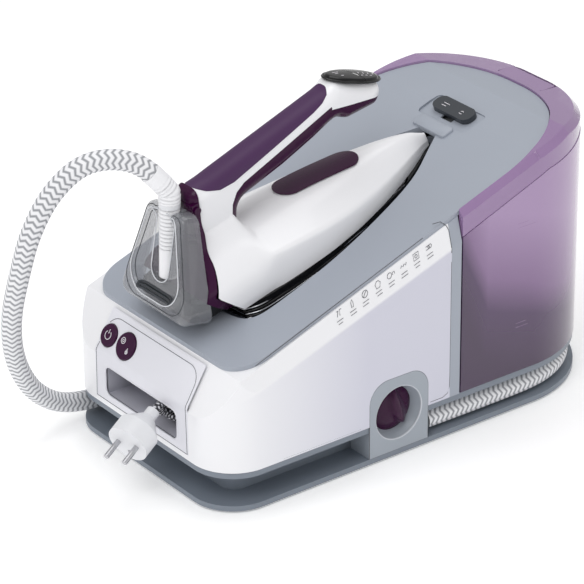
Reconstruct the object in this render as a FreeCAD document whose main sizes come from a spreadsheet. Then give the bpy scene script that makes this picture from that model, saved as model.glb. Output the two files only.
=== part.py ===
import FreeCAD, Part
import math
import os
import re
from FreeCAD import Placement, Rotation, Vector

# Steam generator iron. Frame: +X to the rear (water tank), -X is the front (buttons),
# -Y is the side with the filter dial, +Z up, origin under the middle of the base on its support plane.
doc = FreeCAD.newDocument("steam_generator_iron")
sheet = doc.addObject("Spreadsheet::Sheet", "Sizes")

DIMENSIONS = [
    ("body_length", 450, "front face to rear of the tank"),
    ("body_width", 237, "across both sides"),
    ("front_radius", 42, "plan radius of the two front corners"),
    ("rear_radius", 105, "plan radius of the two rear corners"),
    ("wall", 2.5, "thickness of the moulded walls"),
    ("gap", 0.4, "clearance between moving bodies"),
    ("foot_height", 2, "feet below the tray"),
    ("foot_radius", 11, "rubber feet"),
    ("flange_top", 7, "top of the tray flange"),
    ("groove_depth", 28, "how far the hose groove runs under the body"),
    ("groove_top", 33, "underside of the lip over the hose groove"),
    ("body_bottom", 39, "lower edge of the white body"),
    ("bevel_bottom", 90, "height where the front face starts to lean back"),
    ("bevel_run", 24, "how far the front face leans back"),
    ("bevel_top", 130, "height where the front face meets the deck"),
    ("deck_slope", 0.36, "rise of the deck per length"),
    ("dome_start", 345, "distance behind the front where the deck levels off"),
    ("panel_end", 258, "rear edge of the side wall, where the tank starts"),
    ("side_slope", 0.34, "rise of the side crease per length"),
    ("side_crease", 101, "height of the side crease at the front face"),
    ("strip_height", 31, "height of the icon strip above the side crease"),
    ("strip_lean", 9, "how far the icon strip leans inward"),
    ("rest_slope", 0.29, "rise of the iron rest per length"),
    ("rest_height", 110.5, "height of the iron rest, carried on to the front face"),
    ("iron_start", 79, "rear end of the soleplate behind the front face"),
    ("iron_lift", 3, "soleplate above the rest"),
    ("sole_length", 257, "soleplate"),
    ("sole_half_width", 56, "soleplate"),
    ("sole_thickness", 4, "soleplate"),
    ("hose_diameter", 18, "braided steam hose"),
    ("hose_inset", 14, "hose centre line inside the edge of the tray"),
    ("cord_diameter", 7, "textile mains cord"),
    ("plug_radius", 19, "mains plug"),
    ("dial_centre", 190, "filter dial behind the front face"),
    ("dial_height", 43, "filter dial above the support plane"),
    ("dial_radius", 26, "opening of the filter dial"),
    ("housing_width", 65, "arch round the filter dial"),
    ("housing_top", 79, "arch round the filter dial"),
    ("slot_width", 108, "opening of the cord compartment"),
    ("slot_bottom", 51, "opening of the cord compartment"),
    ("slot_top", 80, "opening of the cord compartment"),
    ("slot_depth", 90, "cord compartment"),
    ("tank_bottom", 41, "underside of the water tank"),
    ("tank_wall", 2.2, "water tank"),
    ("boiler_radius", 40, "boiler"),
    ("boiler_length", 104, "boiler"),
]
for row, (alias, value, note) in enumerate(DIMENSIONS, start=1):
    sheet.set("A%d" % row, note)
    sheet.set("B%d" % row, str(value))
    sheet.setAlias("B%d" % row, alias)
doc.recompute()
ALIASES = {alias for alias, value, note in DIMENSIONS}
size = {alias: float(sheet.get(alias)) for alias in ALIASES}

LENGTH = size["body_length"]
HALF = size["body_width"] / 2
WALL = size["wall"]
nodes = []


# ---------------------------------------------------------------- helpers
def formula(text):
    """An expression in which every alias is read from the sheet."""
    def sheet_cell(match):
        word = match.group()
        return "Sizes." + word if word in ALIASES else word
    return re.sub(r"[a-z_]+", sheet_cell, str(text))


def bind(item, **formulas):
    for prop, text in formulas.items():
        item.setExpression(prop.replace("__", "."), formula(text))
    return item


def back(distance):
    """X of a point this far behind the front face."""
    return distance - LENGTH / 2


def keep(item, name, place=None):
    """Register one sub-part under its node name."""
    item.Label = name
    if place is not None:
        item.Placement = place.multiply(item.Placement)
    nodes.append(item)
    return item


def box(name, length, width, height, x, y, z):
    """A box centred on x and y, standing on z; every size is a number or a formula."""
    item = doc.addObject("Part::Box", name)
    bind(item, Length=length, Width=width, Height=height)
    bind(item, Placement__Base__x="%s - (%s)/2" % (x, length), Placement__Base__y="%s - (%s)/2" % (y, width))
    return bind(item, Placement__Base__z=z)


def rod(name, radius, height, x, y, z, axis=Vector(0, 0, 1)):
    """A cylinder that starts at x, y, z and runs along the axis."""
    item = doc.addObject("Part::Cylinder", name)
    bind(item, Radius=radius, Height=height)
    item.Placement.Rotation = Rotation(Vector(0, 0, 1), axis)
    return bind(item, Placement__Base__x=x, Placement__Base__y=y, Placement__Base__z=z)


def cut(name, base, tool):
    item = doc.addObject("Part::Cut", name)
    item.Base, item.Tool = base, tool
    return item


def common(name, base, tool):
    item = doc.addObject("Part::Common", name)
    item.Base, item.Tool = base, tool
    return item


def fuse(name, *shapes):
    item = doc.addObject("Part::MultiFuse", name)
    item.Shapes = list(shapes)
    return item


def group(name, *shapes):
    """Separate solids in one node."""
    item = doc.addObject("Part::Compound", name)
    item.Links = list(shapes)
    return item


def rounded(item, radius, name, choose=lambda edge: True):
    """The same solid with the chosen edges rounded."""
    doc.recompute()
    fillet = doc.addObject("Part::Fillet", name)
    fillet.Base = item
    fillet.Edges = [(i, radius, radius) for i, edge in enumerate(item.Shape.Edges, start=1) if choose(edge)]
    return fillet


def along(axis):
    """Chooses the straight edges that are parallel to an axis."""
    def choose(edge):
        run = edge.Vertexes[-1].Point - edge.Vertexes[0].Point
        return run.Length > 0 and abs(run.normalize().dot(axis)) > 0.99
    return choose


UP = Vector(0, 0, 1)


def origin_plane(body, role):
    return next(feature for feature in body.Origin.OriginFeatures if feature.Role == role)


def sketch(body, role, offset, edges):
    """A sketch on one of the body's own origin planes, moved along its normal by a formula."""
    item = body.newObject("Sketcher::SketchObject", body.Name + "_sketch")
    item.AttachmentSupport = (origin_plane(body, role), [""])
    item.MapMode = "FlatFace"
    bind(item, AttachmentOffset__Base__z=offset)
    for edge in edges:
        item.addGeometry(edge, False)
    return item


def pad(body, role, offset, edges, length, symmetric=False):
    profile = sketch(body, role, offset, edges)
    item = body.newObject("PartDesign::Pad", body.Name + "_pad")
    item.Profile = profile
    item.Midplane = symmetric
    bind(item, Length=length)
    profile.Visibility = False
    return item


def pocket(body, role, offset, edges, length, reverse=False, symmetric=False):
    profile = sketch(body, role, offset, edges)
    item = body.newObject("PartDesign::Pocket", body.Name + "_pocket")
    item.Profile = profile
    item.Reversed = reverse
    item.Midplane = symmetric
    bind(item, Length=length)
    return item


def new_body(name):
    return doc.addObject("PartDesign::Body", name)


def line(a, b):
    return Part.LineSegment(Vector(a[0], a[1], 0), Vector(b[0], b[1], 0))


def polygon(points):
    return [line(a, b) for a, b in zip(points, points[1:] + points[:1])]


def smooth_polygon(points, radii):
    """A closed outline of straight runs with an arc at each corner that has a radius."""
    count = len(points)
    starts, ends, arcs = [], [], []
    for i in range(count):
        corner = Vector(points[i][0], points[i][1], 0)
        before = Vector(points[i - 1][0], points[i - 1][1], 0)
        after = Vector(points[(i + 1) % count][0], points[(i + 1) % count][1], 0)
        to_before, to_after = (before - corner).normalize(), (after - corner).normalize()
        half = to_before.getAngle(to_after) / 2
        reach = radii[i] / math.tan(half)
        entry, leave = corner + to_before * reach, corner + to_after * reach
        middle_line = (to_before + to_after).normalize()
        middle = corner + middle_line * (radii[i] / math.sin(half) - radii[i])
        starts.append(entry)
        ends.append(leave)
        arcs.append(Part.Arc(entry, middle, leave) if radii[i] else None)
    edges = []
    for i in range(count):
        if arcs[i]:
            edges.append(arcs[i])
        nxt = (i + 1) % count
        if (starts[nxt] - ends[i]).Length > 1e-6:
            edges.append(Part.LineSegment(ends[i], starts[nxt]))
    return edges


def plan(inset, front=0.0, rear=None, front_radius=None, rear_radius=None, half=None):
    """Plan outline of the station, moved inward by the inset, between two distances from the front face."""
    rear = LENGTH if rear is None else rear
    half = HALF - inset if half is None else half
    first, last = back(max(front, inset)), back(min(rear, LENGTH - inset))
    if front_radius is None:
        front_radius = max(size["front_radius"] - inset, 1) if front <= inset else 0
    if rear_radius is None:
        rear_radius = max(size["rear_radius"] - inset, 1) if rear >= LENGTH - inset else 0
    corners = [(first, -half), (last, -half), (last, half), (first, half)]
    return smooth_polygon(corners, [front_radius, rear_radius, rear_radius, front_radius])


def feature(name, shape):
    item = doc.addObject("Part::Feature", name)
    item.Shape = shape
    return item


def wire(edges):
    shapes = [edge.toShape() if hasattr(edge, "toShape") else edge for edge in edges]
    return Part.Wire(Part.__sortEdges__(shapes))


def side_prism(edges, half_width, centre=0.0):
    """Extrude an X-Z outline across Y."""
    face = Part.Face(wire(edges))
    face.rotate(Vector(0, 0, 0), Vector(1, 0, 0), 90)
    face.translate(Vector(0, centre + half_width, 0))
    return face.extrude(Vector(0, -2 * half_width, 0))


# ---------------------------------------------------------------- shared lines of the station
def deck_height(distance):
    return size["bevel_top"] + size["deck_slope"] * (distance - size["bevel_run"])


def rest_line(distance):
    return size["rest_height"] + size["rest_slope"] * distance


CEILING = 330
DOME_TOP = deck_height(size["dome_start"]) + 10


def above(offset, front_offset=0.0):
    """X-Z outline of everything above the station's top line, moved up by the offset."""
    bevel = size["bevel_top"] - size["bevel_bottom"]
    return polygon([
        (back(-20), size["bevel_bottom"] - bevel * 20 / size["bevel_run"] + offset + front_offset),
        (back(size["bevel_run"]), size["bevel_top"] + offset),
        (back(size["dome_start"]), deck_height(size["dome_start"]) + offset),
        (back(size["dome_start"] + 40), DOME_TOP + offset),
        (back(LENGTH + 20), DOME_TOP - 4 + offset),
        (back(LENGTH + 20), CEILING),
        (back(-20), CEILING),
    ])


def wedge(name, outline, bottom, offset, front_offset=0.0):
    """The space inside a plan outline, from a height up to the station's top line plus an offset."""
    body = new_body(name)
    pad(body, "XY_Plane", bottom, outline, "%s - (%s)" % (CEILING, bottom))
    pocket(body, "XZ_Plane", 0, above(offset, front_offset), "body_width*3", symmetric=True)
    return body


# ---------------------------------------------------------------- base tray
RIM = 4
DECK_INSET = 7
LIP_INSET = 1

tray = new_body("tray_body")
pad(tray, "XY_Plane", "foot_height", plan(0), "flange_top - foot_height")
pad(tray, "XY_Plane", "flange_top", plan(size["groove_depth"]) + plan(size["groove_depth"] + WALL),
    "groove_top - flange_top")
pad(tray, "XY_Plane", "groove_top", plan(LIP_INSET) + plan(size["groove_depth"] + WALL),
    "body_bottom - groove_top")

FOOT_INSET = 46
FEET = [(x, y) for x in (FOOT_INSET, LENGTH - 70) for y in (FOOT_INSET - HALF, HALF - FOOT_INSET)]
feet = [rod("foot_%d" % i, "foot_radius", "foot_height", back(x), y, 0) for i, (x, y) in enumerate(FEET)]
keep(group("feet", *feet), "rubber_feet")

# ---------------------------------------------------------------- white body
SIDE_WALL_END = size["panel_end"] - 11


def side_cutter(name, side):
    """Leans the side above the crease inward, along the rising crease."""
    crease = size["side_crease"]
    outer = side * (HALF + 30)
    edge, top = side * HALF, side * (HALF - size["strip_lean"])
    rise = size["strip_height"]
    slant = (top - edge) / rise
    corners = [Vector(back(-20), edge, crease - 20 * size["side_slope"]),
               Vector(back(-20), edge + slant * 90, crease + 90 - 20 * size["side_slope"]),
               Vector(back(-20), outer, crease + 90 - 20 * size["side_slope"]),
               Vector(back(-20), outer, crease - 20 * size["side_slope"])]
    section = feature(name + "_section", Part.makePolygon(corners + corners[:1]))
    item = doc.addObject("Part::Extrusion", name)
    item.Base = section
    item.Dir = Vector(1, 0, size["side_slope"]).normalize()
    item.LengthFwd = LENGTH * 1.3
    item.Solid = True
    return item


shell_block = wedge("shell_block", plan(0, 0, SIDE_WALL_END), "body_bottom", -RIM)
shell_space = wedge("shell_space", plan(WALL, 0, SIDE_WALL_END + 30), "body_bottom - 1", -28)
shell_nose = wedge("shell_nose", plan(13, 3, SIDE_WALL_END + 30), "body_bottom - 1", -RIM - 3)
mouth_plan = plan(13, size["bevel_run"] + 4, SIDE_WALL_END + 30, 30)
shell_mouth = wedge("shell_mouth", mouth_plan, "body_bottom - 1", 1)
shell_sides = cut("shell_sides", cut("shell_side_one", shell_block, side_cutter("near_cutter", -1)),
                  side_cutter("far_cutter", 1))
shell_hollow = cut("shell_hollow", shell_sides, fuse("shell_inside", shell_space, shell_nose, shell_mouth))

PANEL_HALF = 69
PANEL_BOTTOM = 44
PANEL_TOP = 124
PANEL_THICK = 2.2


def front_face(depth):
    """X-Z points down the front face, this far behind its surface."""
    rise = size["bevel_top"] - size["bevel_bottom"]
    lean = math.atan2(size["bevel_run"], rise)
    x_top = size["bevel_run"] * (PANEL_TOP - size["bevel_bottom"]) / rise
    return [(back(depth), PANEL_BOTTOM), (back(depth), size["bevel_bottom"] + depth * math.tan(lean / 2)),
            (back(x_top + depth * math.cos(lean)), PANEL_TOP + depth * math.sin(lean))]


def panel_body(name, half, outer, inner):
    body = new_body(name)
    pad(body, "XZ_Plane", 0, polygon(front_face(outer) + front_face(inner)[::-1]), 2 * half, symmetric=True)
    return body


panel_seat = panel_body("panel_seat", PANEL_HALF + size["gap"] / 2, -1.5, PANEL_THICK)
HOUSING_DEPTH = 27


def housing_arch(play):
    """X-Z outline of the arch round the filter dial, grown by the play."""
    half = size["housing_width"] / 2 + play
    front, rear = back(size["dial_centre"] - half), back(size["dial_centre"] + half)
    bottom, top = size["flange_top"] - play, size["housing_top"] + play
    return smooth_polygon([(front, bottom), (rear, bottom), (rear, top), (front, top)], [0, 0, 20, 20])


housing_seat = new_body("housing_seat")
seat_start = "body_width/2 - %s" % HOUSING_DEPTH
pad(housing_seat, "XZ_Plane", seat_start, housing_arch(size["gap"] / 2), HOUSING_DEPTH + 3)
slot_hole = box("slot_hole", 60, "slot_width + 2*wall + gap", "slot_top - slot_bottom + 2*wall + gap",
                "-body_length/2", 0, "slot_bottom - wall - gap/2")

panel_plate = panel_body("panel_plate", PANEL_HALF, -0.6, PANEL_THICK)
panel_slot = box("panel_slot", 30, "slot_width", "slot_top - slot_bottom", "-body_length/2", 0, "slot_bottom")
panel_round = rounded(panel_slot, 7, "panel_slot_round",
                      lambda e: abs((e.Vertexes[-1].Point - e.Vertexes[0].Point).x) > 5)
panel_open = cut("panel_open", panel_plate, panel_round)

# ---------------------------------------------------------------- buttons in the leaning part of the panel
LEAN = math.degrees(math.atan2(size["bevel_run"], size["bevel_top"] - size["bevel_bottom"]))
INTO_PANEL = Vector(math.cos(math.radians(LEAN)), 0, -math.sin(math.radians(LEAN)))


def on_bevel(height, y):
    """Point on the leaning part of the front face."""
    run = size["bevel_run"] * (height - size["bevel_bottom"]) / (size["bevel_top"] - size["bevel_bottom"])
    return Vector(back(run), y, height)


POWER_AT = on_bevel(104, 58)
MODE_AT = on_bevel(104, 32)
BUTTON_OUT = 2.2
bevel_turn = Rotation(Vector(0, 0, 1), INTO_PANEL)
POWER_RADIUS, MODE_RADIUS = 10.5, 12.5


def push_button(name, radius, at):
    """A cap above the panel with a stem behind it."""
    cap = doc.addObject("Part::Cylinder", name + "_cap")
    cap.Radius, cap.Height = radius, BUTTON_OUT + 4
    stem = doc.addObject("Part::Cylinder", name + "_stem")
    stem.Radius, stem.Height = 3, 10
    stem.Placement.Base = Vector(0, 0, BUTTON_OUT + 4)
    whole = fuse(name + "_whole", rounded(cap, 1.2, name + "_soft", lambda e: e.Vertexes[0].Z < 0.1), stem)
    return keep(whole, name, Placement(at - INTO_PANEL * BUTTON_OUT, bevel_turn))


def button_hole(name, radius, at, play):
    item = doc.addObject("Part::Cylinder", name)
    item.Radius, item.Height = radius + play, 30
    item.Placement = Placement(at - INTO_PANEL * 10, bevel_turn)
    return item


push_button("power_button", POWER_RADIUS, POWER_AT)
push_button("mode_button", MODE_RADIUS, MODE_AT)
BUTTONS = {"power": (POWER_RADIUS, POWER_AT), "mode": (MODE_RADIUS, MODE_AT)}
panel_holes = [button_hole(key + "_hole", radius, at, size["gap"]) for key, (radius, at) in BUTTONS.items()]
keep(cut("panel_drilled", panel_open, fuse("panel_holes", *panel_holes)), "front_panel")
shell_holes = [button_hole(key + "_room", radius, at, 1) for key, (radius, at) in BUTTONS.items()]
shell_room = fuse("shell_room", panel_seat, slot_hole, housing_seat, *shell_holes)
keep(cut("shell_cut", shell_hollow, shell_room), "body_shell")

board = doc.addObject("Part::Box", "key_board")
board.Length, board.Width, board.Height = 20, 76, 1.6
board_turn = Rotation(Vector(0, 1, 0), 90 + LEAN)
board_at = on_bevel(108, 7) + INTO_PANEL * 19 - board_turn.multVec(Vector(10, 0, 0))
board.Placement = Placement(board_at, board_turn)
keep(board, "key_board")

# ---------------------------------------------------------------- cord compartment
tub_outer = box("tub_outer", "slot_depth", "slot_width + 2*wall", "slot_top - slot_bottom + 2*wall",
                "slot_depth/2 - body_length/2 + %s" % (PANEL_THICK + 0.1), 0, "slot_bottom - wall")
tub_inner = box("tub_inner", "slot_depth", "slot_width", "slot_top - slot_bottom",
                "slot_depth/2 - body_length/2 - wall + %s" % (PANEL_THICK + 0.1), 0, "slot_bottom")
keep(cut("tub", tub_outer, tub_inner), "cable_compartment")

# ---------------------------------------------------------------- dial housing and filter dial
housing_body = new_body("housing_body")
half_housing = size["housing_width"] / 2
pad(housing_body, "XZ_Plane", "body_width/2 - %s" % HOUSING_DEPTH, housing_arch(0), HOUSING_DEPTH)
CONE_DEPTH = 11
DIAL_AT = Vector(back(size["dial_centre"]), -HALF, size["dial_height"])
INWARD = Vector(0, 1, 0)
cone = doc.addObject("Part::Cone", "dial_cone")
bind(cone, Radius1="dial_radius", Radius2="dial_radius - 5", Height=CONE_DEPTH)
cone.Placement = Placement(DIAL_AT, Rotation(Vector(0, 0, 1), INWARD))
well = rod("dial_well", "dial_radius - 5", HOUSING_DEPTH - 3 - CONE_DEPTH, DIAL_AT.x, DIAL_AT.y + CONE_DEPTH,
           DIAL_AT.z, INWARD)
through = rod("dial_through", 9, HOUSING_DEPTH, DIAL_AT.x, DIAL_AT.y, DIAL_AT.z, INWARD)
HOSE_Y = -HALF + size["hose_inset"]
HOSE_Z = size["flange_top"] + size["hose_diameter"] / 2 + 1.5
housing = cut("housing_one", housing_body, fuse("dial_hollow", cone, well, through))

# ---------------------------------------------------------------- deck cover with the iron rest
deck_block = wedge("deck_block", plan(DECK_INSET, size["bevel_run"], 418, 30, 104), "bevel_top - 60", 0)
deck_below = wedge("deck_below", plan(DECK_INSET - 5, 0, LENGTH), "bevel_top - 61", -RIM)
deck_slab = cut("deck_slab", deck_block, deck_below)

IRON_ANGLE = math.degrees(math.atan(size["rest_slope"]))
along_rest = Rotation(Vector(0, 1, 0), -IRON_ANGLE)
REST_AT = Vector(back(size["iron_start"]), 0, rest_line(size["iron_start"]))


def boat(half_width, length, heel, margin=0.0):
    """Pointed outline of an iron's sole from its heel to its nose."""
    half = half_width + margin
    points = [(heel - margin, 0), (heel + 2 - margin, half * 0.7), (heel + 6 - margin, half * 0.87),
              (heel + 28, half), (100, half_width * 0.95 + margin), (160, half_width * 0.77 + margin),
              (210, half_width * 0.5 + margin), (length - 14, half_width * 0.2 + margin * 0.8)]
    outline = points + [(length + margin, 0)] + [(x, -y) for x, y in points[:0:-1]]
    curve = Part.BSplineCurve()
    curve.interpolate([Vector(x, y, 0) for x, y in outline], PeriodicFlag=True)
    return curve.toShape()


def boat_prism(half_width, length, heel, margin, z0, z1):
    face = Part.Face(Part.Wire([boat(half_width, length, heel, margin)]))
    face.translate(Vector(0, 0, z0))
    return face.extrude(Vector(0, 0, z1 - z0))


REST_FLOOR = 3
POCKET_MARGIN = 9
tub_block = boat_prism(size["sole_half_width"], size["sole_length"], 0, POCKET_MARGIN + 2.5, -REST_FLOOR, 70)
tub_wall = feature("rest_tub", tub_block)
tub_wall.Placement = Placement(REST_AT, along_rest)
pocket_block = boat_prism(size["sole_half_width"], size["sole_length"], 0, POCKET_MARGIN, 0, 90)
rest_space = feature("rest_space", pocket_block)
rest_space.Placement = Placement(REST_AT, along_rest)
tub_under = common("tub_under", tub_wall, deck_below)
deck_tub = fuse("deck_tub", deck_slab, tub_under)
deck_rest = cut("deck_rest", deck_tub, rest_space)
DECK_ANGLE = math.degrees(math.atan(size["deck_slope"]))
along_deck = Rotation(Vector(0, 1, 0), -DECK_ANGLE)
deck_normal = along_deck.multVec(Vector(0, 0, 1))
LOCK_AT = Vector(back(343), 0, deck_height(343))


def slab_on(place_at, turn, name, length, width, height, shift=Vector(0, 0, 0)):
    """A box centred on its length and width, set on a tilted plane."""
    item = doc.addObject("Part::Box", name)
    item.Length, item.Width, item.Height = length, width, height
    corner = turn.multVec(Vector(-length / 2, -width / 2, 0) + shift)
    item.Placement = Placement(place_at + corner, turn)
    return item


TONGUE_DEPTH = 13
TONGUE_THICK = 5
TONGUE_LENGTH = 34
lock_recess = slab_on(LOCK_AT, along_deck, "lock_recess", 29, 66, 12, Vector(0, 0, -2.2))
lock_slot = slab_on(LOCK_AT, along_deck, "lock_slot", 16, 15, 30, Vector(0, 0, -14))
tongue_slot = slab_on(LOCK_AT, along_deck, "tongue_slot", TONGUE_LENGTH + 22, 46, TONGUE_THICK + 1,
                      Vector(-8, 0, -TONGUE_DEPTH - 0.5))
soft_recess = rounded(lock_recess, 5, "lock_recess_soft", along(deck_normal))
lock_room = fuse("lock_room", soft_recess, lock_slot, tongue_slot)
keep(cut("deck_locked", deck_rest, lock_room), "deck_cover")

# ---------------------------------------------------------------- nose lock
slider_plate = slab_on(LOCK_AT, along_deck, "slider_plate", 17, 50, 5, Vector(4, 0, -1.6))
slider_post = slab_on(LOCK_AT, along_deck, "slider_post", 6, 12, TONGUE_DEPTH - TONGUE_THICK - 1.6,
                      Vector(4, 0, -TONGUE_DEPTH + TONGUE_THICK))
doc.recompute()
slider_pill = rounded(slider_plate, 7.5, "slider_pill", along(deck_normal))
keep(fuse("slider_whole", slider_pill, slider_post), "lock_slider")
tongue = slab_on(LOCK_AT, along_deck, "tongue", TONGUE_LENGTH, 44, TONGUE_THICK, Vector(4, 0, -TONGUE_DEPTH))
keep(rounded(tongue, 1.5, "tongue_soft"), "latch_tongue")

# ---------------------------------------------------------------- rest pads
PAD_RADIUS = 7
pads = []
for i, (x, y) in enumerate([(26, 40), (26, -40), (150, 30), (150, -30), (226, 8)]):
    item = doc.addObject("Part::Cylinder", "pad_%d" % i)
    item.Radius, item.Height = PAD_RADIUS, size["iron_lift"] - 0.3
    item.Placement = Placement(REST_AT + along_rest.multVec(Vector(x, y, 0)), along_rest)
    pads.append(item)
keep(group("pads", *pads), "rest_pads")

# ---------------------------------------------------------------- tank bay, tank and lid
BAY_HALF = 80
BAY_END = 372
TANK_START = size["panel_end"] + 1.5


def bay(front, flange_half, shrink, grow_rear=0.0):
    """Plan outline of the station's middle, which reaches back between the arms of the tank."""
    side, end = BAY_HALF - shrink, back(BAY_END - shrink + grow_rear)
    flange = back(size["panel_end"] - shrink)
    return polygon([(back(front), -flange_half), (flange, -flange_half), (flange, -side), (end, -side),
                    (end, side), (flange, side), (flange, flange_half), (back(front), flange_half)])


bay_block = wedge("bay_block", bay(SIDE_WALL_END, HALF, 0), "body_bottom", -RIM)
bay_space = wedge("bay_space", bay(SIDE_WALL_END - 5, HALF - 13, WALL), "body_bottom - 1", 1)
bay_one = cut("bay_one", bay_block, side_cutter("near_bay_cutter", -1))
bay_two = cut("bay_two", bay_one, side_cutter("far_bay_cutter", 1))
keep(cut("bay", bay_two, bay_space), "tank_bulkhead")

TANK_RISE = 0.38
TANK_EDGE = 192


def above_tank(offset):
    """X-Z outline of everything above the tank's open top."""
    return polygon([
        (back(240), TANK_EDGE - 20 * TANK_RISE + offset), (back(357), TANK_EDGE + 97 * TANK_RISE + offset),
        (back(410), 236 + offset), (back(LENGTH + 20), 238 + offset), (back(LENGTH + 20), CEILING),
        (back(240), CEILING)])


def tank_block(name, outline, bottom, offset):
    body = new_body(name)
    pad(body, "XY_Plane", bottom, outline, "%s - (%s)" % (CEILING, bottom))
    pocket(body, "XZ_Plane", 0, above_tank(offset), "body_width*3", symmetric=True)
    return body


def bay_room(name, grow):
    """The room for the middle of the station between the tank's arms."""
    half = BAY_HALF + grow
    outline = polygon([(back(200), -half), (back(BAY_END + grow), -half), (back(BAY_END + grow), half),
                       (back(200), half)])
    body = new_body(name)
    pad(body, "XY_Plane", 0, outline, CEILING)
    return body


tank_outer = tank_block("tank_outer", plan(0, TANK_START), "tank_bottom - 1.6", 0)
tank_inner = tank_block("tank_inner", plan(size["tank_wall"], TANK_START + size["tank_wall"]),
                        "tank_bottom - 1.6 + tank_wall", 5)
tank_cavity = cut("tank_cavity", tank_inner, bay_room("bay_wall_room", 1.5 + size["tank_wall"]))
tank_solid = cut("tank_solid", tank_outer, bay_room("bay_tank_room", 1.5))
OUTLET_AT = (back(392), -30)
tank_open = cut("tank_open", tank_solid, tank_cavity)
outlet_hole = rod("outlet_hole", 9, 20, OUTLET_AT[0], OUTLET_AT[1], "tank_bottom - 10")
keep(cut("tank_drilled", tank_open, outlet_hole), "water_tank")
valve_stem = rod("valve_stem", 8.6, 8, OUTLET_AT[0], OUTLET_AT[1], "tank_bottom - 1.2")
valve_flange = rod("valve_flange", 12, 2.5, OUTLET_AT[0], OUTLET_AT[1], "tank_bottom - 1.6 + tank_wall")
keep(fuse("valve_whole", valve_stem, valve_flange), "tank_valve")

LID_PLATE = 3
LID_BEVEL = 6
lid_rim = wedge("lid_rim", plan(0.6, TANK_START), "tank_bottom + 60", 2)
doc.recompute()
lid_chamfer = doc.addObject("Part::Chamfer", "lid_bevel")
lid_chamfer.Base = lid_rim
lid_chamfer.Edges = [
    (i, LID_BEVEL, LID_BEVEL) for i, edge in enumerate(lid_rim.Shape.Edges, start=1)
    if min(v.Z for v in edge.Vertexes) > 190 and max(v.X for v in edge.Vertexes) > back(TANK_START + 1)
    and abs(edge.valueAt((edge.FirstParameter + edge.LastParameter) / 2).y) > 1
    and abs(abs(edge.valueAt((edge.FirstParameter + edge.LastParameter) / 2).y) - HALF) < 80
    and not (edge.Vertexes[0].X == edge.Vertexes[-1].X and edge.Vertexes[0].Y == edge.Vertexes[-1].Y)]
below_tank = tank_block("below_tank_top", plan(-5, 200), "tank_bottom - 20", 0.3)
lid_band = cut("lid_band", cut("lid_above", lid_chamfer, below_tank), bay_room("bay_lid_room", 1.5))
deck_room = new_body("deck_room")
pad(deck_room, "XY_Plane", 100, plan(DECK_INSET - 0.6, 200, 418.6, 0, 104.6), 200)
lid_ring = cut("lid_ring", lid_band, deck_room)
plate_block = tank_block("plate_block", plan(size["tank_wall"] + 0.8, TANK_START + 3), 150, LID_PLATE)
lid_plate = cut("lid_plate", cut("plate_above", plate_block, below_tank), bay_room("bay_plate_room", 1.5))
lid_whole = fuse("lid_whole", lid_ring, lid_plate)
FLAP_START, FLAP_END, FLAP_HALF = 422, 440, 30
FLAP_TOP = DOME_TOP
HINGE_ROOM = 3
flap_hole = box("flap_hole", FLAP_END - FLAP_START + HINGE_ROOM, 2 * FLAP_HALF, 60,
                back((FLAP_START + FLAP_END + HINGE_ROOM) / 2), 0, 230)
keep(cut("lid_open", lid_whole, flap_hole), "tank_lid")
flap_plate = box("flap_plate", FLAP_END - FLAP_START - 0.8, 2 * FLAP_HALF - 0.8, 2.5,
                 back((FLAP_START + FLAP_END) / 2), 0, FLAP_TOP - 2.5)
keep(rounded(flap_plate, 2, "flap_soft", along(UP)), "fill_flap")


# ---------------------------------------------------------------- iron, in its own frame on the sole
# x runs from the heel to the nose along the sole, z is normal to the sole.
IRON = Placement(REST_AT + along_rest.multVec(Vector(0, 0, size["iron_lift"])), along_rest)
SOLE = size["sole_thickness"]
HALF_SOLE = size["sole_half_width"]
SOLE_LENGTH = size["sole_length"]
SKIRT_TOP = 17

keep(feature("soleplate", boat_prism(HALF_SOLE, SOLE_LENGTH, 0, 0, 0, SOLE)), "soleplate", IRON)
casting_floor = boat_prism(HALF_SOLE - 13, SOLE_LENGTH - 28, 14, -3, SOLE, SKIRT_TOP - 0.3)
keep(feature("steam_chamber", casting_floor), "steam_chamber", IRON)
skirt = boat_prism(HALF_SOLE - 2.5, SOLE_LENGTH - 3, 2.5, 0, SOLE, SKIRT_TOP)
skirt_room = boat_prism(HALF_SOLE - 13, SOLE_LENGTH - 28, 14, 0, SOLE - 1, SKIRT_TOP + 1)
keep(feature("heat_skirt", skirt.cut(skirt_room)), "heat_skirt", IRON)

# Cross sections of the iron's shell: place along the sole, half width, shoulder height, ridge height.
SHELL_SECTIONS = [(4, 46, 50, 63), (30, 51, 50, 65.5), (65, 53, 46.5, 66), (100, 52, 42.5, 64),
                  (135, 47, 38.5, 59.5), (172, 38, 34, 53.5), (205, 28, 30, 48), (230, 17.5, 27, 41.5),
                  (246, 9, 24, 34), (254, 4, 20, 24)]


def shell_section(x, half, shoulder, ridge, inward=0.0):
    """Closed curve of one cross section: flat foot, sides up to the shoulder, rounded back."""
    foot = SKIRT_TOP
    w = half - inward
    top = ridge - inward
    side = shoulder - inward / 2
    points = [(w, foot), (w * 0.99, foot + (side - foot) * 0.5), (w * 0.88, side),
              (w * 0.6, side + (top - side) * 0.72), (w * 0.25, side + (top - side) * 0.97)]
    right = [Vector(x, y, z) for y, z in points]
    left = [Vector(x, -y, z) for y, z in reversed(points)]
    arch = Part.BSplineCurve()
    arch.interpolate(right + left)
    return Part.Wire([arch.toShape(), Part.makeLine(left[-1], right[0])])


def shell_loft(inward=0.0, first=0, last=None):
    rows = SHELL_SECTIONS[first:last]
    return Part.makeLoft([shell_section(*row, inward) for row in rows], True, False)


ACROSS_UP = Rotation(Vector(0, 1, 0), Vector(0, 0, 1), Vector(1, 0, 0), "ZXY")


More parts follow.
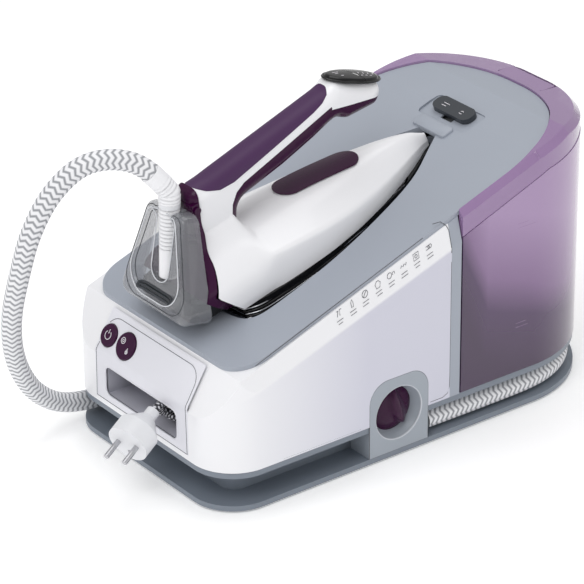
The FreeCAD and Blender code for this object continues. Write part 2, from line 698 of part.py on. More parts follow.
def front_prism(edges, x0, x1):
    """Extrude a Y-Z outline along x."""
    face = Part.Face(wire(edges))
    face.Placement = Placement(Vector(x0, 0, 0), ACROSS_UP)
    return face.extrude(Vector(x1 - x0, 0, 0))


# The heel leans forward to the top of the handle and is undercut below; the frame is a band on its outside.
HEEL_INNER = [(12, 130), (8, 112), (2.5, 83), (-6, 62), (-20, 41), (0.6, SKIRT_TOP + 0.2)]
HEEL_OUTER = [(-8.7, SKIRT_TOP + 0.2), (-29.5, 41), (-14.5, 60), (-5.5, 83), (-0.6, 108), (4, 130)]
HEEL_SIDE = [(38, SKIRT_TOP + 0.1), (47, 30), (47, 46), (40, 56), (24, 70), (15.2, 92), (15.2, 112)]
HEEL_CURVES = [0, 10, 8, 20, 20, 20, 0]
heel_front_view = smooth_polygon(HEEL_SIDE + [(-y, z) for y, z in reversed(HEEL_SIDE)],
                                 HEEL_CURVES + HEEL_CURVES[::-1])
flare = front_prism(heel_front_view, -40, 18)
frame_region = side_prism(polygon(HEEL_INNER + HEEL_OUTER), 60)
white_region = side_prism(polygon(HEEL_INNER + [(18, SKIRT_TOP + 0.2), (18, 130)]), 60)
shell_outside = shell_loft().fuse(flare.common(white_region))
shell_inside = shell_loft(WALL, 0, -2)
inside_room = shell_inside.common(Part.makeBox(400, 300, 200, Vector(7, -150, 0)))

# Handle: a beam held only at the heel and open towards the nose, cut into its mouldings.
HANDLE_HALF = 15
HANDLE_ROUND = 9
handle_line = smooth_polygon(
    [(-16, 50), (-1, 104), (3, 122.5), (24, 122), (160, 133), (169, 138), (217, 111), (208, 92), (172, 96),
     (100, 92), (48, 86), (36, 50)],
    [0, 90, 10, 90, 16, 12, 12, 10, 60, 0, 14, 0])
handle_block = side_prism(handle_line, HANDLE_HALF)
side_edges = [edge for edge in handle_block.Edges
              if abs(abs(edge.Vertexes[0].Y) - HANDLE_HALF) < 0.01
              and abs(edge.Vertexes[0].Y - edge.Vertexes[-1].Y) < 0.01
              and min(v.Z for v in edge.Vertexes) + max(v.Z for v in edge.Vertexes) > 113]
palm_line = [(102, 91), (135, 97.5), (156, 102.5), (164, 102), (173, 95), (173, 80), (102, 80)]
palm_room = side_prism(polygon(palm_line), 60)
handle_full = handle_block.makeFillet(HANDLE_ROUND, side_edges).cut(palm_room)

handle_ring = handle_full.cut(shell_outside)
GRIP_JOINT = [(-20, 128), (16, 121), (26, 114), (46, 109), (156, 127.5), (163, 142)]
LINING_JOINT = [(30, 72), (46, 90), (54, 98.5), (156, 115.5), (156, 80)]
above_joint = side_prism(polygon(GRIP_JOINT + [(163, 160), (-20, 160)]), 60)
below_joint = side_prism(polygon(LINING_JOINT + [(30, 60)]), 60)
grip = handle_ring.cut(frame_region).common(above_joint)
lining = handle_ring.cut(frame_region).common(below_joint)
heel_frame = handle_ring.common(frame_region).fuse(flare.common(frame_region))
core = handle_ring.cut(frame_region).cut(above_joint).cut(below_joint)

# Trigger under the head and two keys on top of it
TRIGGER_HALF = 10
trigger_line = smooth_polygon([(158, 112), (206, 97.5), (204, 91.5), (177, 94), (167, 98), (159.5, 103.5)],
                              [2, 1, 1.5, 8, 8, 2])
trigger = side_prism(trigger_line, TRIGGER_HALF)
trigger_room = side_prism(polygon([(157, 118), (207, 103), (205.5, 80), (157, 80)]), TRIGGER_HALF + 0.5)
PANEL_AT = Vector(193, 0, 124.6)
PANEL_TILT = Rotation(Vector(0, 1, 0), 29.6)


def oval(length, width, thickness, at, turn):
    """A flat oval, centred, with its underside at the given point."""
    straight = (length - width) / 2
    outline = [Part.LineSegment(Vector(-straight, -width / 2, 0), Vector(straight, -width / 2, 0)),
               Part.Arc(Vector(straight, -width / 2, 0), Vector(straight + width / 2, 0, 0),
                        Vector(straight, width / 2, 0)),
               Part.LineSegment(Vector(straight, width / 2, 0), Vector(-straight, width / 2, 0)),
               Part.Arc(Vector(-straight, width / 2, 0), Vector(-straight - width / 2, 0, 0),
                        Vector(-straight, -width / 2, 0))]
    shape = Part.Face(wire(outline)).extrude(Vector(0, 0, thickness))
    shape.Placement = Placement(at, turn)
    return shape


KEY_GAP = 1.2
key_oval = oval(60, 26, 5, PANEL_AT + PANEL_TILT.multVec(Vector(0, 0, -1)), PANEL_TILT)
key_seat = oval(61, 27, 20, PANEL_AT + PANEL_TILT.multVec(Vector(0, 0, -3)), PANEL_TILT)
split_room = Part.makeBox(KEY_GAP, 60, 40, Vector(-KEY_GAP / 2, -30, -20))
split_room.Placement = Placement(PANEL_AT, PANEL_TILT)
front_half = Part.makeBox(60, 60, 40, Vector(0, -30, -20))
front_half.Placement = Placement(PANEL_AT, PANEL_TILT)
core = core.cut(trigger_room).cut(key_seat)
grip = grip.cut(key_seat)

keep(feature("iron_handle", core), "iron_handle", IRON)
keep(feature("soft_grip", grip), "soft_grip", IRON)
keep(feature("grip_lining", lining), "grip_lining", IRON)
keep(feature("heel_frame", heel_frame), "heel_frame", IRON)
keep(feature("steam_trigger", trigger), "steam_trigger", IRON)
keys = key_oval.cut(split_room)
keep(feature("temperature_key", keys.common(front_half)), "temperature_key", IRON)
keep(feature("mode_key", keys.cut(front_half)), "mode_key", IRON)

# Heel plate behind the shell, with the pivot discs and the clear stand
keep(feature("iron_shell", shell_outside.cut(inside_room).cut(handle_full)), "iron_shell", IRON)

# Heel stand: a clear trapezoid shell that leans back from the heel, on a dark heel block
STAND_FOOT = Vector(-59, 0, 31.5)
STAND_LEAN = math.degrees(math.atan2(41.4, 84.8))
STAND_HEIGHT = 94
STAND_DEPTH = 22


def stand_prism(inset, near, far, top=STAND_HEIGHT):
    """Trapezoid across y, upright along z; near and far are depths behind its outer face."""
    outline = smooth_polygon([(-53 + inset, inset), (53 - inset, inset), (27 - inset, top - inset),
                              (-27 + inset, top - inset)], [12, 12, 10, 10])
    return front_prism(outline, near, far)


stand_place = Placement(STAND_FOOT, Rotation(Vector(0, 1, 0), STAND_LEAN))


def placed(shape, placement):
    moved = shape.copy()
    moved.Placement = placement.multiply(moved.Placement)
    return moved


channel = Part.makeBox(60, 26, 120, Vector(-5, -13, 34))
RELIEF_FOOT = Vector(-32, 0, 53)
RELIEF_TOP = Vector(-11, 0, 118)
relief_axis = (RELIEF_TOP - RELIEF_FOOT).normalize()
relief_length = (RELIEF_TOP - RELIEF_FOOT).Length
stand_shape = stand_prism(0, 0, STAND_DEPTH).cut(stand_prism(WALL, WALL, STAND_DEPTH + 1)).cut(channel)
relief_room = Part.makeCylinder(10, relief_length + 20, RELIEF_FOOT - relief_axis * 6, relief_axis)
before_heel = [(x - 0.4, z) for x, z in HEEL_OUTER[1:]]
iron_room = side_prism(polygon(before_heel + [(100, 130), (100, 0), (-12, 0)]), 80)
heel_stand = placed(stand_shape, stand_place).cut(relief_room).cut(iron_room)
block_line = polygon([(-9.2, 17.5), (-30, 41), (-38, 40), (-44, 24), (-30, 17.5)])
stand_wall = placed(stand_prism(0, 0, STAND_DEPTH).cut(stand_prism(WALL, WALL, STAND_DEPTH + 1)), stand_place)
heel_block = side_prism(block_line, 36).cut(stand_wall)
keep(feature("heel_stand", heel_stand), "heel_stand", IRON)
biggest = max(heel_block.Solids, key=lambda solid: solid.Volume)
keep(feature("heel_block", biggest), "heel_block", IRON)


# ---------------------------------------------------------------- hose, cord and what is on them
def tube(points, radius):
    """A round tube on straight runs joined by tangent arcs, as large as the shorter run allows."""
    edges = []
    start = points[0]
    for before, corner, after in zip(points, points[1:], points[2:]):
        to_before, to_after = (before - corner), (after - corner)
        shorter = min(to_before.Length, to_after.Length)
        to_before.normalize()
        to_after.normalize()
        half = to_before.getAngle(to_after) / 2
        reach = 0.45 * shorter
        arc_radius = reach * math.tan(half)
        entry, leave = corner + to_before * reach, corner + to_after * reach
        middle = corner + (to_before + to_after).normalize() * (arc_radius / math.sin(half) - arc_radius)
        edges.append(Part.LineSegment(start, entry).toShape())
        edges.append(Part.Arc(entry, middle, leave).toShape())
        start = leave
    edges.append(Part.LineSegment(start, points[-1]).toShape())
    path = Part.Wire(edges)
    direction = (points[1] - points[0]).normalize()
    section = Part.Wire([Part.makeCircle(radius, points[0], direction)])
    return path.makePipeShell([section], True, False)


SLEEVE_BEND = RELIEF_TOP + relief_axis * 11
HOSE_END = Vector(-16.5, 7, 149.5)
HOSE_RADIUS = size["hose_diameter"] / 2
ribs = Part.makeCylinder(7.2, relief_length - 4, RELIEF_FOOT, relief_axis)
RIB_COUNT = 9
RIB_STEP = (relief_length - 10) / RIB_COUNT
for i in range(RIB_COUNT):
    rib_at = RELIEF_FOOT + relief_axis * (i * RIB_STEP)
    ribs = ribs.fuse(Part.makeCylinder(9.2, RIB_STEP * 0.6, rib_at, relief_axis))
keep(feature("hose_strain_relief", ribs), "hose_strain_relief", IRON)
keep(feature("relief_collar", Part.makeCylinder(9.4, 3.9, RELIEF_TOP - relief_axis * 4, relief_axis)),
     "relief_collar", IRON)
sleeve = tube([RELIEF_TOP, SLEEVE_BEND, HOSE_END], HOSE_RADIUS + 0.4)
keep(feature("hose_sleeve", sleeve), "hose_sleeve", IRON)


def station(distance, from_near, height):
    """Point given by its distances behind the front face, from the near side and above the support plane."""
    return Vector(back(distance), from_near - HALF, height)


GLAND_FACE = size["dial_centre"] + half_housing + 6
GROOVE = size["hose_inset"]
FAR_GROOVE = size["body_width"] - GROOVE
REAR_CENTRE = LENGTH - size["rear_radius"]
REAR_BEND = size["rear_radius"] - GROOVE
REAR_STEP = 30
hose_points = [station(GLAND_FACE, GROOVE, HOSE_Z), station(304, GROOVE - 1.4, HOSE_Z)]
for centre_y, first in ((GROOVE + REAR_BEND, -90), (FAR_GROOVE - REAR_BEND, 0)):
    for i in range(3):
        angle = math.radians(first + REAR_STEP * (i + 0.5))
        reach = REAR_BEND / math.cos(math.radians(REAR_STEP / 2))
        along_x, along_y = reach * math.cos(angle), reach * math.sin(angle)
        hose_points.append(station(REAR_CENTRE + along_x, centre_y + along_y, HOSE_Z))
hose_points += [station(300, FAR_GROOVE + 1, HOSE_Z), station(222, FAR_GROOVE - 0.6, HOSE_Z),
                station(142, FAR_GROOVE + 1.2, HOSE_Z), station(62, FAR_GROOVE - 0.2, HOSE_Z),
                station(-4, 224, 18), station(-45, 217, 45), station(-72, 206, 91), station(-84, 190, 143),
                station(-82, 175, 191), station(-75, 166, 232), station(-55, 160, 268),
                station(-26, 149, 292)]
hose_end = IRON.multVec(HOSE_END)
hose_way = (hose_end - IRON.multVec(SLEEVE_BEND)).normalize()
hose_points += [hose_end + hose_way * 18, hose_end]
keep(feature("steam_hose", tube(hose_points, HOSE_RADIUS)), "steam_hose")
hose_start = (hose_points[1] - hose_points[0]).normalize()
gland = Part.makeCylinder(HOSE_RADIUS + 1, 16, hose_points[0] - hose_start * 16, hose_start)
keep(feature("hose_gland", gland), "hose_gland")
gland_room = rod("gland_room", "hose_diameter/2 + 1.8", 18, back(GLAND_FACE - 16.6), HOSE_Y, HOSE_Z,
                 Vector(1, 0, 0))
keep(cut("housing_two", housing, gland_room), "dial_housing")

# Mains cord: a hank in the compartment, a short free stretch and the plug in front of the opening
CORD_RADIUS = size["cord_diameter"] / 2
HANK_FRONT, HANK_REAR = 7, 84
HANK_NEAR, HANK_FAR = 66, 128
HANK_BOTTOM, HANK_TOP = 57.5, 79.3
hank = doc.addObject("Part::Box", "hank_block")
hank.Length, hank.Width, hank.Height = HANK_REAR - HANK_FRONT, HANK_FAR - HANK_NEAR, HANK_TOP - HANK_BOTTOM
hank.Placement.Base = station(HANK_FRONT, HANK_NEAR, HANK_BOTTOM)
hank_round = rounded(hank, 27, "hank_ends", along(UP))
keep(hank_round, "mains_hank")
PLUG_WAY = Vector(-0.88, -0.29, -0.37).normalize()
PLUG_FACE = station(-48, 70, 62.5)
PLUG_LENGTH = 40
plug_back = PLUG_FACE - PLUG_WAY * PLUG_LENGTH
head = Part.makeCylinder(size["plug_radius"], 17, PLUG_FACE - PLUG_WAY * 17, PLUG_WAY)
shoulder = Part.makeCone(size["plug_radius"], 7.5, 14, PLUG_FACE - PLUG_WAY * 17, PLUG_WAY * -1)
neck = Part.makeCylinder(6, PLUG_LENGTH - 31, PLUG_FACE - PLUG_WAY * 31, PLUG_WAY * -1)
plug_side = PLUG_WAY.cross(Vector(0, 0, 1)).normalize()
socket = Part.makeCylinder(2.6, 12, PLUG_FACE - PLUG_WAY * 11, PLUG_WAY)
plug_up = plug_side.cross(PLUG_WAY)
socket.translate(plug_up * -10)
keep(feature("mains_plug", head.fuse([shoulder, neck]).removeSplitter().cut(socket)), "mains_plug")
pins = [Part.makeCylinder(2.4, 19, PLUG_FACE + plug_side * (9.5 * sign), PLUG_WAY) for sign in (-1, 1)]
keep(feature("plug_pins", Part.makeCompound(pins)), "plug_pins")
cord_entry = station(HANK_FRONT, 92, 67)
cord_points = [plug_back, plug_back - PLUG_WAY * 10, cord_entry - Vector(6, 0, 0), cord_entry]
keep(feature("mains_cord", tube(cord_points, CORD_RADIUS)), "mains_cord")
inlet = Part.makeCylinder(6, PANEL_THICK + size["slot_depth"] - HANK_REAR - 2.5, station(HANK_REAR, 92, 67),
                          Vector(1, 0, 0))
keep(feature("cord_gland", inlet), "cord_gland")


# ---------------------------------------------------------------- filter dial and its cartridge
KNOB_RADIUS = size["dial_radius"] - 5.6
knob_disc = rod("knob_disc", KNOB_RADIUS, 6, DIAL_AT.x, DIAL_AT.y + CONE_DEPTH + 1, DIAL_AT.z, INWARD)
knob_stem = rod("knob_stem", 8.6, 8, DIAL_AT.x, DIAL_AT.y + CONE_DEPTH + 7, DIAL_AT.z, INWARD)
knob_bar = box("knob_bar", 9, 9, 2 * KNOB_RADIUS - 4, DIAL_AT.x, DIAL_AT.y + CONE_DEPTH - 3.5,
               DIAL_AT.z - KNOB_RADIUS + 2)
knob_grip = rounded(knob_bar, 2, "knob_grip")
keep(fuse("knob_whole", knob_disc, knob_stem, knob_grip), "dial_knob")
keep(rod("cartridge", 7.5, 46, DIAL_AT.x, DIAL_AT.y + CONE_DEPTH + 15, DIAL_AT.z, INWARD), "filter_cartridge")
cartridge_room = rod("cartridge_room", 9.4, 50, DIAL_AT.x, DIAL_AT.y, DIAL_AT.z, INWARD)
housing_room = box("housing_room", "housing_width + gap", 2 * HOUSING_DEPTH + 0.4, "housing_top",
                   "dial_centre - body_length/2", "-body_width/2", "flange_top")
keep(cut("tray_cut", tray, fuse("tray_room", cartridge_room, housing_room)), "base_tray")

# ---------------------------------------------------------------- steam works inside the station
BOILER_AT = Vector(back(128), 0, 92)
BOILER_WALL = 3
LAGGING = 4
ALONG = Vector(1, 0, 0)


def inner_rod(name, radius, length, offset, extra=0.0):
    return rod(name, radius, length, BOILER_AT.x + offset, BOILER_AT.y, BOILER_AT.z + extra, ALONG)


boiler_can = inner_rod("boiler_can", "boiler_radius", "boiler_length", 0)
boiler_void = inner_rod("boiler_void", "boiler_radius - %s" % BOILER_WALL, "boiler_length - 6", BOILER_WALL)
keep(cut("boiler_hollow", boiler_can, boiler_void), "boiler")
lagging_out = inner_rod("lagging_out", "boiler_radius + %s" % LAGGING, "boiler_length - 8", 4)
lagging_in = inner_rod("lagging_in", "boiler_radius + 0.1", "boiler_length", 0)
keep(cut("lagging", lagging_out, lagging_in), "boiler_lagging")
keep(inner_rod("element_core", 4.5, "boiler_length - 24", 12, -18), "heating_element")
saddles = []
for i, offset in enumerate((24, 78)):
    plate = box("saddle_plate_%d" % i, 8, 70, BOILER_AT.z - 22 - size["flange_top"], BOILER_AT.x + offset, 0,
                "flange_top")
    saddle_radius = "boiler_radius + %s" % (LAGGING + 0.1)
    saddle_room = inner_rod("saddle_room_%d" % i, saddle_radius, "boiler_length", 0)
    saddles.append(cut("saddle_%d" % i, plate, saddle_room))
keep(group("saddles", *saddles), "boiler_saddles")
keep(rod("relief_body", 8, 14, BOILER_AT.x - 14, 14, BOILER_AT.z + 12, ALONG), "safety_valve")
keep(rod("thermostat_body", 9, 6, BOILER_AT.x - 6, -14, BOILER_AT.z + 12, ALONG), "boiler_thermostat")
pump_base = box("pump_base", 52, 34, 22, back(300), -38, "flange_top")
pump_motor = rod("pump_motor", 14, 46, back(277), -38, size["flange_top"] + 34, ALONG)
keep(fuse("pump_whole", pump_base, pump_motor), "water_pump")
valve_block = box("valve_block", 26, 26, 20, back(290), 38, "flange_top")
valve_coil = rod("valve_coil", 11, 22, back(290), 38, size["flange_top"] + 20)
keep(fuse("valve_body", valve_block, valve_coil), "solenoid_valve")
keep(box("board", 1.6, 120, 80, back(356), 0, 60), "main_board")
socket_cup = rod("socket_cup", 11, size["body_bottom"] - size["flange_top"] - 0.2, OUTLET_AT[0], OUTLET_AT[1],
                 "flange_top")
keep(socket_cup, "tank_socket")
water_way = [station(380.8, HALF - 30, 20), station(364, HALF - 30, 20), station(346, HALF - 36, 17),
             station(326.2, HALF - 36, 17)]
keep(feature("water_pipe", tube(water_way, 4)), "water_pipe")
steam_way = [station(233, HALF, 112), station(250, HALF + 3, 112), station(276, HALF + 22, 100),
             station(290, HALF + 38, 76), station(290, HALF + 38, size["flange_top"] + 42)]
keep(feature("steam_pipe", tube(steam_way, 3.5)), "steam_pipe")
screws = [rod("screw_%d" % i, 3.4, 1.2, back(x), y, 0.8) for i, (x, y) in enumerate(
    [(40, -20), (40, 20), (220, -80), (220, 80), (400, -30), (400, 30)])]
keep(group("screws", *screws), "base_screws")

# ---------------------------------------------------------------- trims of the iron
badge_skin = shell_loft(-0.8).cut(shell_outside)
badge_prism = oval(88, 29, 60, Vector(133, 0, 30), Rotation())
badge = badge_skin.common(badge_prism)
keep(feature("shell_badge", max(badge.Solids, key=lambda solid: solid.Volume)), "shell_badge", IRON)
discs = [Part.makeCylinder(3.4, 1.6, Vector(3.6, side * (HANDLE_HALF + 0.3), 106), Vector(0, side, 0))
         for side in (-1, 1)]
keep(feature("pivot_discs", Part.makeCompound(discs)), "pivot_discs", IRON)
thermostat_block = Part.makeCylinder(10, 8, Vector(60, 0, SKIRT_TOP - 0.3), UP)
keep(feature("iron_thermostat", thermostat_block), "iron_thermostat", IRON)


# ---------------------------------------------------------------- check and write
doc.recompute()
faults = [item.Name for item in doc.Objects if "Invalid" in item.State or "Error" in item.State]
for item in nodes:
    if item.Shape.isNull() or not item.Shape.isValid() or not item.Shape.Solids:
        faults.append(item.Label)
if faults:
    raise RuntimeError("not built: " + ", ".join(faults))
os.makedirs("parts", exist_ok=True)
for item in nodes:
    item.Shape.exportStep("parts/%s.step" % item.Label)
print(len(nodes), "nodes")
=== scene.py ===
import math

import bmesh
import bpy
from mathutils import Matrix, Vector
from mathutils.geometry import delaunay_2d_cdt


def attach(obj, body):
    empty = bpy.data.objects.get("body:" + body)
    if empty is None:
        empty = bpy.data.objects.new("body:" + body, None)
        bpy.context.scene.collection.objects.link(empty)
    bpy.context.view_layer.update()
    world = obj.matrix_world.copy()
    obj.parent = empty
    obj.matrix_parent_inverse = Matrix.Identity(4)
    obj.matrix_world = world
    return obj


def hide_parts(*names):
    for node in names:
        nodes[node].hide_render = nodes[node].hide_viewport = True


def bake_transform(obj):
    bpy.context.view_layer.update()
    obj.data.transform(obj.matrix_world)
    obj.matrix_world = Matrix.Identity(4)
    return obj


# Looks of the steam generator iron, in metres: -X is the front, -Y the side with the filter dial.
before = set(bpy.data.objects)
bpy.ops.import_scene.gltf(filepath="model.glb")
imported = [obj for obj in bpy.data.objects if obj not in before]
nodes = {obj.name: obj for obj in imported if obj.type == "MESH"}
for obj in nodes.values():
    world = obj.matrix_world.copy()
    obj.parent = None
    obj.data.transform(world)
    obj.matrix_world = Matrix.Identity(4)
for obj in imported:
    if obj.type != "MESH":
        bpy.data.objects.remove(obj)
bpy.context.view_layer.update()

MM = 0.001
LENGTH, WIDTH = 450, 237


def station(distance, from_near, height):
    """Point in millimetres: behind the front face, in from the near side and above the floor."""
    return Vector((distance - LENGTH / 2, from_near - WIDTH / 2, height)) * MM


# ---- camera, light and stage
AZIMUTH, ELEVATION = math.radians(-37.83), math.radians(26.65)
TARGET = Vector((-0.0065, 0, 0.12))
CAMERA_DISTANCE = 3.0
toward_camera = Vector((math.sin(AZIMUTH) * math.cos(ELEVATION), -math.cos(AZIMUTH) * math.cos(ELEVATION),
                        math.sin(ELEVATION)))
camera_data = bpy.data.cameras.new("camera")
camera_data.sensor_width = 36
camera_data.lens = 207.7
camera_data.shift_x, camera_data.shift_y = -0.0848, -0.0269
camera_data.clip_end = 30
camera = bpy.data.objects.new("camera", camera_data)
bpy.context.scene.collection.objects.link(camera)
camera.location = TARGET + toward_camera * CAMERA_DISTANCE
camera.rotation_euler = toward_camera.to_track_quat("Z", "Y").to_euler()
bpy.context.scene.camera = camera
bpy.context.scene.view_settings.view_transform = "Standard"


def area_light(name, place, size, power, aim=(0, 0, 0.12)):
    data = bpy.data.lights.new(name, "AREA")
    data.shape, data.size, data.energy = "SQUARE", size, power
    light = bpy.data.objects.new(name, data)
    light.location = place
    light.rotation_euler = (Vector(place) - Vector(aim)).to_track_quat("Z", "Y").to_euler()
    bpy.context.scene.collection.objects.link(light)
    return light


area_light("key_light", (-1.3, -0.7, 2.0), 1.3, 14)
area_light("front_light", (-2.0, 0.9, 0.9), 1.2, 5)
area_light("side_light", (0.9, -2.2, 0.9), 1.4, 4)
area_light("top_light", (0.5, 0.3, 2.4), 1.6, 16)
world = bpy.data.worlds.new("studio")
world.use_nodes = True
world.node_tree.nodes["Background"].inputs["Color"].default_value = (1, 1, 1, 1)
world.node_tree.nodes["Background"].inputs["Strength"].default_value = 0.55
bpy.context.scene.world = world


# ---- materials
def srgb(red, green, blue):
    """Linear colour of an 8-bit screen colour."""
    def linear(value):
        value /= 255
        return value / 12.92 if value <= 0.04045 else ((value + 0.055) / 1.055) ** 2.4
    return (linear(red), linear(green), linear(blue), 1)


class Graph:
    """A material's node tree with short ways to add nodes."""

    def __init__(self, name):
        self.material = bpy.data.materials.new(name)
        self.material.use_nodes = True
        self.tree = self.material.node_tree
        self.shader = self.tree.nodes["Principled BSDF"]
        self.coordinates = self.tree.nodes.new("ShaderNodeTexCoord")

    def add(self, kind, **inputs):
        node = self.tree.nodes.new("ShaderNode" + kind)
        for key, value in inputs.items():
            node.inputs[key.replace("_", " ")].default_value = value
        return node

    def link(self, source, target):
        self.tree.links.new(source, target)

    def noise(self, scale, detail=3.0):
        node = self.add("TexNoise", Scale=scale, Detail=detail)
        self.link(self.coordinates.outputs["Object"], node.inputs["Vector"])
        return node.outputs["Fac"]

    def math(self, operation, first, second=0.0):
        node = self.tree.nodes.new("ShaderNodeMath")
        node.operation = operation
        for socket, value in zip(node.inputs, (first, second)):
            if isinstance(value, (int, float)):
                socket.default_value = value
            else:
                self.link(value, socket)
        return node.outputs[0]

    def ramp(self, factor, stops):
        node = self.tree.nodes.new("ShaderNodeValToRGB")
        elements = node.color_ramp.elements
        while len(elements) < len(stops):
            elements.new(0.5)
        for element, (position, colour) in zip(elements, stops):
            element.position, element.color = position, colour
        self.link(factor, node.inputs["Fac"])
        return node.outputs["Color"]

    def paint(self, colour):
        self.link(colour, self.shader.inputs["Base Color"])

    def axes(self, kind="Object"):
        """X, Y and Z of one kind of coordinates."""
        split = self.add("SeparateXYZ")
        self.link(self.coordinates.outputs[kind], split.inputs["Vector"])
        return split.outputs

    def held(self, value):
        """The same value kept between 0 and 1."""
        value.node.use_clamp = True
        return value

    def bump(self, height, distance, strength=1.0):
        node = self.add("Bump", Strength=strength, Distance=distance)
        self.link(height, node.inputs["Height"])
        self.link(node.outputs["Normal"], self.shader.inputs["Normal"])

    def set(self, **inputs):
        for key, value in inputs.items():
            self.shader.inputs[key.replace("_", " ")].default_value = value


def shade(colour, factor):
    return (*[channel * factor for channel in colour[:3]], 1)


def moulded(name, colour, roughness, grain=900, relief=0.00003, spread=0.04, coat=0.0, gloss=0.5):
    """Moulded plastic: fine grain, and a slight change of tone over the part."""
    graph = Graph(name)
    tone = graph.ramp(graph.noise(9, 2), [(0.3, shade(colour, 1 - spread)), (0.7, shade(colour, 1 + spread))])
    graph.paint(tone)
    rough = graph.math("MULTIPLY_ADD", graph.noise(60), roughness * 0.06)
    rough.node.inputs[2].default_value = roughness * 0.97
    graph.link(rough, graph.shader.inputs["Roughness"])
    graph.bump(graph.noise(grain, 2), relief)
    graph.set(Coat_Weight=coat, Coat_Roughness=0.08, Specular_IOR_Level=gloss)
    return graph.material


WHITE = srgb(240, 240, 243)
DECK = srgb(160, 166, 177)
BASE = srgb(122, 130, 141)
PURPLE = srgb(52, 4, 48)
GRIP = srgb(70, 38, 80)

white_gloss = moulded("white_gloss", WHITE, 0.3, 1400, 0.000004, 0.004, 0.25)
white_satin = moulded("white_satin", srgb(226, 226, 233), 0.42, 1800, 0.000006, 0.005)
deck_plastic = moulded("deck_plastic", DECK, 0.42, 1500, 0.00002, 0.02)
base_plastic = moulded("base_plastic", BASE, 0.4, 1500, 0.00002, 0.03)
dial_grey = moulded("dial_grey", srgb(158, 165, 174), 0.36, 1500, 0.000015, 0.02)
slot_plastic = moulded("slot_plastic", srgb(186, 186, 196), 0.5, 1500, 0.00002, 0.03)
dark_plastic = moulded("dark_plastic", srgb(52, 56, 62), 0.35, 1500, 0.000015, 0.05)
black_plastic = moulded("black_plastic", srgb(14, 14, 16), 0.2, 1500, 0.00001, 0.05, 0.1, 0.4)
pad_rubber = moulded("pad_rubber", srgb(26, 26, 28), 0.7, 700, 0.00005, 0.1)
purple_gloss = moulded("purple_gloss", PURPLE, 0.24, 1500, 0.000006, 0.06, 0.03, 0.22)
grip_rubber = moulded("grip_rubber", GRIP, 0.5, 2600, 0.00003, 0.05, 0.0, 0.35)
inner_plastic = moulded("inner_plastic", srgb(120, 122, 126), 0.6, 900, 0.00003, 0.05)
board_green = moulded("board_green", srgb(30, 92, 58), 0.4, 900, 0.00003, 0.1)
felt = moulded("felt", srgb(205, 198, 176), 0.95, 500, 0.0006, 0.1)
plug_plastic = moulded("plug_plastic", srgb(224, 225, 229), 0.36, 1500, 0.00002, 0.015)
ink_grey = moulded("ink_grey", srgb(96, 98, 104), 0.6, 1500, 0.00001, 0.02)
icon_white = moulded("icon_white", srgb(236, 232, 238), 0.5, 1500, 0.00001, 0.01)


CREASE_RISE, CREASE_AT_MIDDLE = 0.34, 0.1775


def body_material():
    """White shell, with painted shade: a faint lavender darkening on its upright walls below the slanting
    crease.
    """
    graph = Graph("body_white")
    place = graph.axes()
    sideways = graph.math("ABSOLUTE", graph.axes("Normal")["Y"])
    crease = graph.math("ADD", graph.math("MULTIPLY", place["X"], CREASE_RISE), CREASE_AT_MIDDLE)
    below = graph.held(graph.math("MULTIPLY", graph.math("SUBTRACT", crease, place["Z"]), 300))
    wall = graph.held(graph.math("MULTIPLY", graph.math("SUBTRACT", sideways, 0.75), 4))
    along = graph.held(graph.math("MULTIPLY", graph.math("ADD", place["X"], 0.21), 7))
    # painted shade: walls facing sideways below the crease, fading in from the front, are darkened towards
    # lavender
    painted_wall_shade = graph.math("MULTIPLY", graph.math("MULTIPLY", below, wall), along)
    tone = graph.math("ADD", painted_wall_shade, graph.math("MULTIPLY", graph.noise(9, 2), 0.03))
    graph.paint(graph.ramp(tone, [(0.02, WHITE), (1.0, srgb(206, 206, 219))]))
    graph.bump(graph.noise(1400, 2), 0.000004)
    graph.set(Roughness=0.3, Coat_Weight=0.2, Coat_Roughness=0.08)
    return graph.material


def brushed(name, colour, roughness, stretch):
    """Metal with fine scratches along one direction."""
    graph = Graph(name)
    mapping = graph.add("Mapping", Scale=stretch)
    graph.link(graph.coordinates.outputs["Object"], mapping.inputs["Vector"])
    lines = graph.add("TexNoise", Scale=1, Detail=4)
    graph.link(mapping.outputs["Vector"], lines.inputs["Vector"])
    fac = lines.outputs["Fac"]
    graph.paint(graph.ramp(fac, [(0.3, shade(colour, 0.85)), (0.7, colour)]))
    graph.bump(fac, 0.00002)
    graph.set(Metallic=1.0, Roughness=roughness)
    return graph.material


body_white = body_material()
sole_metal = brushed("sole_metal", srgb(214, 214, 218), 0.18, (60, 2500, 2500))
plain_metal = brushed("plain_metal", srgb(196, 196, 200), 0.3, (400, 400, 60))
brass_metal = brushed("brass_metal", srgb(212, 178, 110), 0.3, (400, 400, 60))


def tank_material():
    """Tinted clear plastic, dark where the water stands behind it."""
    graph = Graph("tank_tint")
    place = graph.axes()
    height = graph.math("ADD", place["Z"], graph.math("MULTIPLY", place["X"], 0.32))
    soft = graph.math("MULTIPLY", graph.noise(12, 1), 0.014)
    edge = graph.held(graph.math("MULTIPLY", graph.math("SUBTRACT", 0.064, place["X"]), 30))
    lifted = graph.math("MULTIPLY", graph.math("ADD", height, soft), 3.4)
    level = graph.math("SUBTRACT", lifted, graph.math("MULTIPLY", edge, 0.22))
    colour = graph.ramp(level, [(0.30, srgb(60, 36, 70)), (0.47, srgb(76, 50, 90)),
                                (0.57, srgb(134, 104, 146)), (0.80, srgb(170, 142, 182))])
    graph.paint(colour)
    graph.bump(graph.noise(90, 2), 0.00004)
    graph.set(Roughness=0.12, Coat_Weight=0.6, Coat_Roughness=0.05, Alpha=0.93)
    return graph.material


tank_tint = tank_material()


